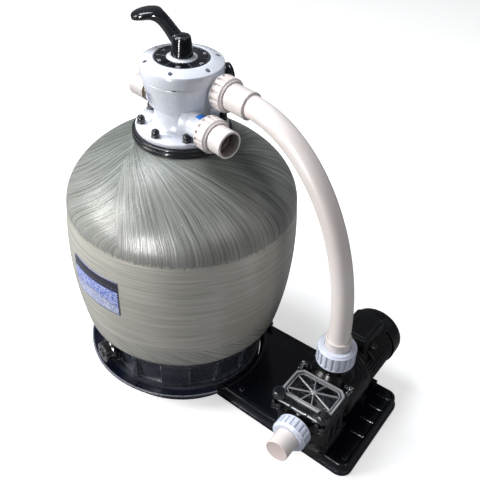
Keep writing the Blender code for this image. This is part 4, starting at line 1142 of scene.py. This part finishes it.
def hose_line():
    """From inside the inlet tail, over in one cubic curve, into the discharge tail."""
    port, axis = INLET
    first, top = port + axis * 0.0965, port + axis * 0.1290
    foot, last = Vector((PUMP_X, -0.015, 0.3030)), Vector((PUMP_X, -0.015, 0.2650))
    pull_top, pull_foot = top + axis * 0.150, foot + Vector((0, 0, 0.260))
    line = [first, (first + top) / 2]
    for i in range(121):
        t = i / 120
        line.append(top * (1 - t) ** 3 + pull_top * 3 * t * (1 - t) ** 2
                    + pull_foot * 3 * t * t * (1 - t) + foot * t ** 3)
    return line + [(foot + last) / 2, last]


def build_hose():
    line = hose_line()
    before = (line[1] - line[0]).normalized()
    normal = Vector(UP).cross(before).normalized()
    rows, run, runs = [], 0.0, []
    for i, p in enumerate(line):
        ahead = (line[min(i + 1, len(line) - 1)] - line[max(i - 1, 0)]).normalized()
        normal = before.rotation_difference(ahead) @ normal
        before = ahead
        side = ahead.cross(normal)
        if i:
            run += (p - line[i - 1]).length
        runs.append(run)
        rows.append([p + (normal * math.cos(a) + side * math.sin(a)) * HOSE_R
                     for a in (2 * PI * k / HOSE_SIDES for k in range(HOSE_SIDES))])
    uv_sheet("hose", rows, [r / run for r in runs], HOSE, wall=("Wall", 0.0035), wrap=True)


build_hose()

# ====================================================================== gauge
gauge = Piece("gauge_case")
gauge.lathe([
    (0.0238, 0.1085), (0.0255, 0.1085), (0.0265, 0.1072), (0.0265, 0.102), (0.0258, 0.1012),
    (0.0258, 0.094), (0.025, 0.0915), (0.0225, 0.0892), (0.0085, 0.0882), (0.0075, 0.0855),
    (0.0, 0.0855), (0.0, 0.0995), (0.0238, 0.0995)], *GAUGE, fillet=0.0004)
gauge.lathe([(0.0, 0.1), (0.0236, 0.1), (0.0236, 0.099), (0.0, 0.099)], *GAUGE, steps=64, mat=1)
gauge_turn = along(GAUGE[1])
for i in range(28):
    length, y = (0.0034, 0.0205) if i % 3 == 0 else (0.0018, 0.0213)
    gauge.box((0.0005, length, 0.0002), (0, y, 0.1001), 0,
              turn=gauge_turn @ about_z(-135 + 10 * i), at=GAUGE[0], mat=2)
gauge.done(BLACK, WHITE_INK, RUBBER, angle=32)
Piece("gauge_lens").lathe(
    [(0.0, 0.1077), (0.02, 0.1075), (0.0231, 0.1071), (0.0231, 0.106), (0.0, 0.106)],
    *GAUGE).done(LENS)
needle = Piece("gauge_needle")
needle.lathe([(0.0, 0.1044), (0.0024, 0.1044), (0.0028, 0.1038), (0.0028, 0.1005),
              (0.0, 0.1005)], *GAUGE, steps=40)
needle.box((0.0016, 0.022, 0.0006), (0, 0.007, 0.1026), 0.0002,
           turn=gauge_turn @ about_z(135), at=GAUGE[0], taper=(0.7, 1.0))
needle.done(RUBBER, body="gauge_pointer")

# ======================================================================= pump
SHAFT = (Vector((PUMP_X, 0, 0.140)), (0, 1, 0))
SHAFT_TURN = along(SHAFT[1])
POT_Y = -0.101
KNOB_XS = (0.386, 0.494)


def rounded_rect(cx, cy, width, depth, r, n=10):
    points = []
    for sx, sy, start in ((1, -1, -90), (1, 1, 0), (-1, 1, 90), (-1, -1, 180)):
        for i in range(n + 1):
            a = math.radians(start + 90 * i / n)
            points.append((cx + sx * (width / 2 - r) + r * math.cos(a),
                           cy + sy * (depth / 2 - r) + r * math.sin(a)))
    return points


def pot_rect(width, depth, r, n=10):
    return rounded_rect(PUMP_X, POT_Y, width, depth, r, n)


def foot_bolt(piece, x, y, base):
    piece.lathe([(0.0, 0.047), (base - 0.0006, 0.047), (base, 0.0462), (base, 0.043), (0.0, 0.043)]
                if base < 0.0054 else
                [(0.0, 0.047), (0.0048, 0.047), (0.0054, 0.0462), (0.0054, 0.0428), (0.0, 0.0428)],
                at=(x, y, 0), steps=6)


# pot walls up the outside, over the rim and down the inside: (width, depth, z, corner radius)
pot = Piece("pump_housing")
pot.skin([[(*p, z) for p in pot_rect(width, depth, r)] for width, depth, z, r in (
    (0.119, 0.082, 0.055, 0.012), (0.121, 0.084, 0.06, 0.012), (0.123, 0.086, 0.1, 0.012),
    (0.124, 0.087, 0.15, 0.012), (0.126, 0.09, 0.176, 0.012), (0.126, 0.09, 0.183, 0.012),
    (0.132, 0.1, 0.1812, 0.009), (0.1325, 0.1005, 0.1822, 0.009),
    (0.1325, 0.1005, 0.1895, 0.009), (0.131, 0.099, 0.1908, 0.009),
    (0.108, 0.072, 0.1909, 0.005), (0.106, 0.07, 0.1895, 0.005), (0.106, 0.07, 0.068, 0.005))])
# ledges and ribs on the pot
for z, grow in ((0.17, 0.0045), (0.161, 0.003), (0.09, 0.0035), (0.079, 0.0035)):
    pot.frame(pot_rect(0.126 + grow, 0.089 + grow, 0.012), pot_rect(0.116, 0.08, 0.012),
              z, z + 0.0042, 0.001)
for dx in (-0.046, -0.016, 0.016, 0.046):
    for s in (-1, 1):
        pot.box((0.0035, 0.006, 0.07), (PUMP_X + dx, POT_Y + s * 0.0435, 0.125), 0.001)
for dy in (-0.028, 0.0, 0.028):
    for s in (-1, 1):
        pot.box((0.006, 0.0035, 0.07), (PUMP_X + s * 0.0612, POT_Y + dy, 0.125), 0.001)
# stepped foot
for grow, z0, z1 in ((0.0, 0.0345, 0.0425), (-0.01, 0.042, 0.05), (-0.018, 0.0495, 0.074)):
    pot.prism(rounded_rect(PUMP_X, -0.062, 0.104 + grow, 0.116 + grow, 0.008),
              [(0.0008, z0), (0.0, z0 + 0.0008), (0.0, z1 - 0.0012), (0.0012, z1)])
for s in (-1, 1):
    for y in (-0.108, -0.02):
        foot_bolt(pot, PUMP_X + s * 0.044, y, 0.0052)
# volute and throat, with spokes and bolts
pot.lathe([
    (0.0, -0.08), (0.044, -0.08), (0.044, -0.046), (0.06, -0.0452), (0.066, -0.043),
    (0.068, -0.039), (0.068, -0.01), (0.0684, 0.006), (0.0684, 0.008), (0.0684, 0.027),
    (0.0676, 0.028), (0.058, 0.028), (0.058, -0.022), (0.019, -0.022), (0.019, -0.08)],
    *SHAFT, steps=160, fillet=0.0008, closed=False)
for i in range(10):
    turn = SHAFT_TURN @ about_z(36 * i + 18)
    pot.box((0.02, 0.0034, 0.0085), (0.054, 0, -0.048), 0.001, turn=turn, at=SHAFT[0])
    pot.lathe([(0.0, 0.0282), (0.0044, 0.0282), (0.0044, 0.0225), (0.0, 0.0225)],
              SHAFT[0] + turn @ Vector((0.064, 0, 0.0)), SHAFT[1], steps=6)
# discharge riser and suction spigot
pot.lathe([
    (0.0315, 0.246), (0.0315, 0.235), (0.032, 0.23), (0.0326, 0.22), (0.0345, 0.212),
    (0.041, 0.204), (0.048, 0.196), (0.019, 0.196), (0.019, 0.246)],
    *DISCHARGE, fillet=0.0006)
pot.lathe([
    (0.0315, 0.044), (0.0315, 0.018), (0.0335, 0.012), (0.037, 0.0075), (0.039, 0.004),
    (0.019, 0.004), (0.019, 0.044)], *SUCTION, fillet=0.0006)
# lugs that take the lid knobs, each an open fork
for x in KNOB_XS:
    for s in (-1, 1):
        pot.box((0.0066, 0.0225, 0.025), (x + s * 0.0075, -0.153, 0.177), 0.002)
    pot.box((0.0215, 0.009, 0.025), (x, -0.146, 0.177), 0.0016)
    for z in (0.18, 0.17):
        pot.tube([(x + 0.011 * math.cos(a), -0.154 - 0.0075 * math.sin(a), z)
                  for a in np.linspace(0, PI, 17)], radius=0.0022, sides=14)
# hinge posts
for x in (PUMP_X - 0.052, PUMP_X + 0.052):
    pot.box((0.01, 0.013, 0.029), (x, -0.0435, 0.1925), 0.0014)
    pot.lathe([(0.0033, -0.005), (0.0066, -0.005), (0.0066, 0.005), (0.0033, 0.005)],
              (x, -0.044, 0.2035), (1, 0, 0), steps=48, fillet=0.0005)
pot.done(PUMP, angle=34)

# drain screw low on the pot
Piece("pot_drain_screw").lathe(
    [(0.0, 0.008), (0.009, 0.008), (0.01, 0.007), (0.01, 0.0), (0.0, 0.0)],
    (PUMP_X - 0.02, -0.1435, 0.086), (0, -1, 0), steps=12, fillet=0.0006).done(
    PUMP, replaces=False)

# strainer basket: rims, hoops, then bars up the sides and across the floor
basket = Piece("strainer_basket")
basket.frame(pot_rect(0.101, 0.067, 0.004), pot_rect(0.092, 0.058, 0.003), 0.1745, 0.1785, 0.001)
basket.frame(pot_rect(0.098, 0.064, 0.004), pot_rect(0.0945, 0.0605, 0.003), 0.071, 0.074,
             0.0006)
for z in np.linspace(0.084, 0.164, 9):
    basket.frame(pot_rect(0.0975, 0.0635, 0.004, 4), pot_rect(0.095, 0.061, 0.003, 4),
                 z, z + 0.0018, 0.0004)
for i in range(14):
    x = PUMP_X - 0.0455 + 0.007 * i
    for s in (-1, 1):
        # the front is open at the suction mouth
        if not (s < 0 and abs(x - PUMP_X) < 0.016):
            basket.box((0.002, 0.0016, 0.104), (x, POT_Y + s * 0.0312, 0.124), 0)
    basket.box((0.002, 0.062, 0.0018), (x, POT_Y, 0.0722), 0)
for i in range(9):
    y = POT_Y - 0.028 + 0.007 * i
    for s in (-1, 1):
        basket.box((0.0016, 0.002, 0.104), (PUMP_X + s * 0.0482, y, 0.124), 0)
    basket.box((0.096, 0.002, 0.0018), (PUMP_X, y, 0.0728), 0)
basket.lathe([(0.0175, 0.0095), (0.02, 0.0095), (0.02, 0.006), (0.0175, 0.006)],
             SUCTION[0] + Vector((0, 0.015, 0)), SUCTION[1], steps=64)
basket.tube([(PUMP_X + 0.0455 * math.cos(a), POT_Y, 0.1765 + 0.009 * math.sin(a) - 0.004)
             for a in np.linspace(0, PI, 33)], radius=0.0018, sides=12)
basket.done(DARK, angle=34)

# strainer lid: a clear tray with a raised frame and eight rays
LID_Y, RAYS_Y = -0.107, -0.1


def cut_rect(width, depth, cut, cy):
    """A rectangle with its corners cut off."""
    w, d = width / 2, depth / 2
    return [(PUMP_X + x, cy + y) for x, y in (
        (-w + cut, -d), (w - cut, -d), (w, -d + cut), (w, d - cut),
        (w - cut, d), (-w + cut, d), (-w, d - cut), (-w, -d + cut))]


lid = Piece("strainer_lid")
lid.prism(cut_rect(0.13, 0.104, 0.01, LID_Y),
          [(0.0006, 0.1939), (0.0, 0.1945), (0.0, 0.1994), (0.0008, 0.2002)])
lid.frame(cut_rect(0.122, 0.083, 0.013, RAYS_Y), cut_rect(0.113, 0.074, 0.011, RAYS_Y),
          0.1998, 0.205, 0.0012, mat=1)
lid.frame(cut_rect(0.106, 0.068, 0.01, RAYS_Y), cut_rect(0.102, 0.064, 0.009, RAYS_Y),
          0.1998, 0.203, 0.0008, mat=1)
for i in range(8):
    degrees = 22.5 + 45 * i
    a = math.radians(degrees)
    reach = min(0.05 / max(1e-3, abs(math.cos(a))), 0.032 / max(1e-3, abs(math.sin(a))))
    lid.box((reach, 0.003, 0.0036), (reach / 2, 0, 0.0), 0.001, turn=about_z(degrees),
            at=(PUMP_X, RAYS_Y, 0.2018), taper=(1.0, 0.5), mat=1)
lid.lathe([(0.0, 0.2045), (0.003, 0.2045), (0.005, 0.2036), (0.0058, 0.1998), (0.0, 0.1998)],
          at=(PUMP_X, RAYS_Y, 0), steps=48, mat=1)
# hinge arms, pins and eyes at the back, tabs under the knobs at the front
for s in (-1, 1):
    lid.box((0.007, 0.02, 0.01), (PUMP_X + s * 0.0612, -0.0525, 0.2022), 0.0014)
    lid.lathe([(0.0, -0.0085), (0.003, -0.0085), (0.003, 0.0085), (0.0, 0.0085)],
              (PUMP_X + s * 0.0562, -0.044, 0.2035), (1, 0, 0), steps=32, fillet=0.0004)
    lid.lathe([(0.0031, -0.0034), (0.0062, -0.0034), (0.0062, 0.0034), (0.0031, 0.0034)],
              (PUMP_X + s * 0.0612, -0.044, 0.2035), (1, 0, 0), steps=48, fillet=0.0005)
    lid.box((0.023, 0.015, 0.004), (PUMP_X + s * 0.054, -0.152, 0.2005), 0.0012)
# pale strips along the lid's front lip and the frame's front edge: painted highlights
for x0, x1 in ((-0.056, -0.024), (-0.018, 0.015), (0.021, 0.056)):
    lid.box((x1 - x0, 0.0022, 0.0034), (PUMP_X + (x0 + x1) / 2, LID_Y - 0.0522, 0.1975), 0.0006,
            mat=2)
lid.box((0.09, 0.0016, 0.002), (PUMP_X - 0.004, RAYS_Y - 0.0405, 0.2046), 0.0005, mat=2)
lid.done(CLEAR, LID_EDGE, LID_GLINT, body="strainer_cover", angle=30)


def knob_grip(angle, radius, height):
    wave = 0.5 + 0.5 * np.cos(angle * 14)
    grip = (radius > 0.0135) * smooth(height, 0.0098, 0.0112) * smooth(height, 0.0212, 0.0196)
    return radius - grip * 0.0013 * wave, height


for side, x in zip(("left", "right"), KNOB_XS):
    Piece(f"knob_{side}").lathe([
        (0.0, 0.0236), (0.008, 0.024), (0.0118, 0.0234), (0.0136, 0.0222), (0.0144, 0.0206),
        *((0.0146, h) for h in np.linspace(0.02, 0.0106, 12)),
        (0.014, 0.0094), (0.0112, 0.0088), (0.0106, 0.0044), (0.007, 0.004), (0.003, 0.004),
        (0.003, -0.03), (0.0, -0.03)], at=(x, -0.154, 0.197), steps=168, mod=knob_grip).done(
        BLACK, body=f"lid_knob_{side}", angle=34)


# ====================================================================== motor
MOTOR_Y = 0.112  # middle of the terminal box


def fins(angle, radius, height):
    phase = np.abs((angle * 40 / (2 * PI)) % 1.0 - 0.5) * 2
    fin = smooth(phase, 0.62, 0.42)
    keep = (radius > 0.061) * smooth(height, 0.06, 0.064) * smooth(height, 0.17, 0.166)
    return radius - keep * 0.0034 * (1 - fin), height


motor = Piece("motor_housing")
motor.lathe([
    (0.0078, 0.186), (0.056, 0.186), (0.06, 0.185), (0.06, 0.176), (0.062, 0.175),
    (0.064, 0.1728), *((0.064, h) for h in np.linspace(0.17, 0.06, 24)),
    (0.064, 0.058), (0.0622, 0.054), (0.061, 0.053), (0.066, 0.0522), (0.0668, 0.051),
    (0.0668, 0.043), (0.066, 0.0412), (0.0078, 0.0409)], *SHAFT, steps=960, mod=fins)
motor.box((0.07, 0.09, 0.03), (PUMP_X, 0.115, 0.069), 0.002, taper=(0.7, 0.9))
for y in (0.085, 0.145):
    motor.box((0.104, 0.022, 0.008), (PUMP_X, y, 0.0388), 0.0018)
for s in (-1, 1):
    for y in (0.085, 0.145):
        motor.box((0.008, 0.018, 0.033), (PUMP_X + s * 0.026, y, 0.056), 0.0014)
        foot_bolt(motor, PUMP_X + s * 0.043, y, 0.0054)
motor.done(MOTOR, angle=34)

# fan cover, with rings of vents: (ring radius, count, width)
vents = Piece("vents")
for ring_radius, count, width in ((0.018, 8, 0.003), (0.027, 14, 0.0032),
                                  (0.036, 18, 0.0034), (0.045, 24, 0.0034)):
    for i in range(count):
        turn = SHAFT_TURN @ Quaternion(UP, 2 * PI * i / count)
        vents.box((0.006, width, 0.01), (ring_radius, 0, 0.2225), 0, turn=turn, at=SHAFT[0])
Piece("fan_cover").lathe([
    (0.01, 0.224), (0.052, 0.224), (0.056, 0.2228), (0.062, 0.2186), (0.0648, 0.215),
    (0.0662, 0.211), (0.0668, 0.205), (0.067, 0.2), (0.067, 0.178), (0.0676, 0.177),
    (0.0676, 0.1745), (0.0646, 0.174), (0.0646, 0.205), (0.062, 0.214), (0.051, 0.221),
    (0.01, 0.221)], *SHAFT, steps=192).done(MOTOR, angle=30, cutters=vents)

# two raised bands along the motor, as angles round the shaft
bands = Piece("motor_bands")
for start, end in ((-38, -16), (196, 218)):
    rows = []
    for a in np.linspace(start, end, 15):
        grow = 0.4 if a in (start, end) else 1.0
        out = SHAFT_TURN @ heading(a - 90)
        section = [(0.064 + (r - 0.064) * grow, y) for r, y in (
            (0.0676, 0.062), (0.0686, 0.064), (0.0686, 0.201), (0.0676, 0.203))]
        section += [(0.062, 0.203), (0.062, 0.062)]
        rows.append([SHAFT[0] + out * r + Vector((0, y, 0)) for r, y in section])
    bands.skin(rows)
bands.done(MOTOR, angle=30, replaces=False)

terminal = Piece("terminal_box")
terminal.prism(rounded_rect(PUMP_X, MOTOR_Y, 0.072, 0.095, 0.008), [
    (0.0, 0.196), (0.0, 0.228), (0.001, 0.2286), (0.001, 0.2296), (0.0, 0.2302),
    (0.0004, 0.2345), (0.002, 0.2368), (0.006, 0.238)])
terminal.prism(rounded_rect(PUMP_X, MOTOR_Y, 0.05, 0.07, 0.005),
               [(0.0, 0.2372), (0.0006, 0.2386), (0.002, 0.239)])
for sx in (-1, 1):
    for sy in (-1, 1):
        terminal.lathe([(0.0, 0.2392), (0.003, 0.239), (0.0036, 0.238), (0.0, 0.237)],
                       at=(PUMP_X + sx * 0.029, MOTOR_Y + sy * 0.04, 0), steps=24)
terminal.box((0.124, 0.07, 0.018), (PUMP_X, MOTOR_Y, 0.196), 0.003, taper=(0.62, 1.0))
terminal.lathe([
    (0.0, 0.016), (0.0058, 0.016), (0.007, 0.015), (0.007, 0.009), (0.009, 0.0085),
    (0.009, 0.0), (0.0, 0.0)], (PUMP_X + 0.035, 0.09, 0.214), (1, 0, 0), steps=24,
    fillet=0.0006)
terminal.done(MOTOR, angle=34)


# ================================================================== the stage
def floor_pale():
    """Glows a little to the camera and is a darker grey to every other ray."""
    k = Look("floor_pale")
    grain = k.noise(k.xyz, scale=3.0, detail=3.0)
    seen = k.value("LightPath", output="Is Camera Ray")
    pale = k.mix(k.span(grain, 0.3, 0.7), (0.92, 0.92, 0.92), (0.94, 0.94, 0.94))
    matt = k.value("BsdfDiffuse", {"Color": k.mix(seen, (0.30, 0.30, 0.31), pale)})
    glow = k.value("Emission", {"Color": (1, 1, 1), "Strength": seen * 0.55})
    return k.finish(k.value("AddShader", {0: matt, 1: glow}))


floor_mesh = bpy.data.meshes.new("floor")
floor_mesh.from_pydata([(x, y, -0.0006) for x, y in ((-9, -9), (9, -9), (9, 9), (-9, 9))], [],
                       [(0, 1, 2, 3)])
floor = link_object("floor", floor_mesh)
floor_mesh.materials.append(floor_pale())

AMBIENT, CAMERA_EXTRA = 0.16, 0.80  # sky strength, and what the camera sees on top of it
world = bpy.data.worlds.new("studio")
bpy.context.scene.world = world
world.use_nodes = True
tree = world.node_tree
sky_colour, sky_strength = tree.nodes["Background"].inputs[:2]
sky_colour.default_value = (0.92, 0.95, 1.0, 1.0)
sky_strength.default_value = AMBIENT
light_path = tree.nodes.new("ShaderNodeLightPath")
level = tree.nodes.new("ShaderNodeMath")
level.operation = "MULTIPLY_ADD"
tree.links.new(light_path.outputs["Is Camera Ray"], level.inputs[0])
level.inputs[1].default_value, level.inputs[2].default_value = CAMERA_EXTRA, AMBIENT
tree.links.new(level.outputs[0], sky_strength)


def soft(name, at, aim, width, height, power, colour):
    """A rectangular area light aimed at a point."""
    data = bpy.data.lights.new(name, "AREA")
    data.shape = "RECTANGLE"
    data.size, data.size_y = width, height
    data.energy, data.color = power, colour
    light = link_object(name, data)
    light.location = at
    light.rotation_euler = (Vector(aim) - Vector(at)).to_track_quat("-Z", "Y").to_euler()
    return light


soft("key", at=(-1.75, -1.95, 1.55), aim=(0.0, 0.0, 0.42), width=1.1, height=1.5, power=80,
     colour=(1.0, 0.985, 0.955))
soft("top", at=(-0.9, -0.3, 2.9), aim=(0.05, -0.05, 0.5), width=1.1, height=1.1, power=62,
     colour=(0.96, 0.98, 1.0))
window = soft("window", at=(0.25, -2.60, 0.85), aim=(0.15, 0.0, 0.20), width=0.22, height=1.5,
              power=95, colour=(1.0, 1.0, 1.0))
window.visible_diffuse = False
soft("rim", at=(2.4, -0.6, 1.9), aim=(0.30, 0.0, 0.30), width=0.5, height=1.0, power=9,
     colour=(1.0, 0.97, 0.95))

camera_data = bpy.data.cameras.new("camera")
camera_data.sensor_width = 36.0
camera_data.sensor_fit = "HORIZONTAL"
camera_data.lens = 54.29350551
camera = link_object("camera", camera_data)
camera.matrix_world = Matrix((
    (0.8125709, 0.5813203, 0.0423713, 0),  # right
    (-0.387333, 0.4842319, 0.7845333, 0),  # up
    (0.4355476, -0.6539008, 0.6186373, 0),  # backwards
    (0.8622536, -1.0511731, 1.4154142, 1))).transposed()  # place
bpy.context.scene.camera = camera
bpy.context.scene.view_settings.view_transform = "Standard"

bpy.context.view_layer.update()
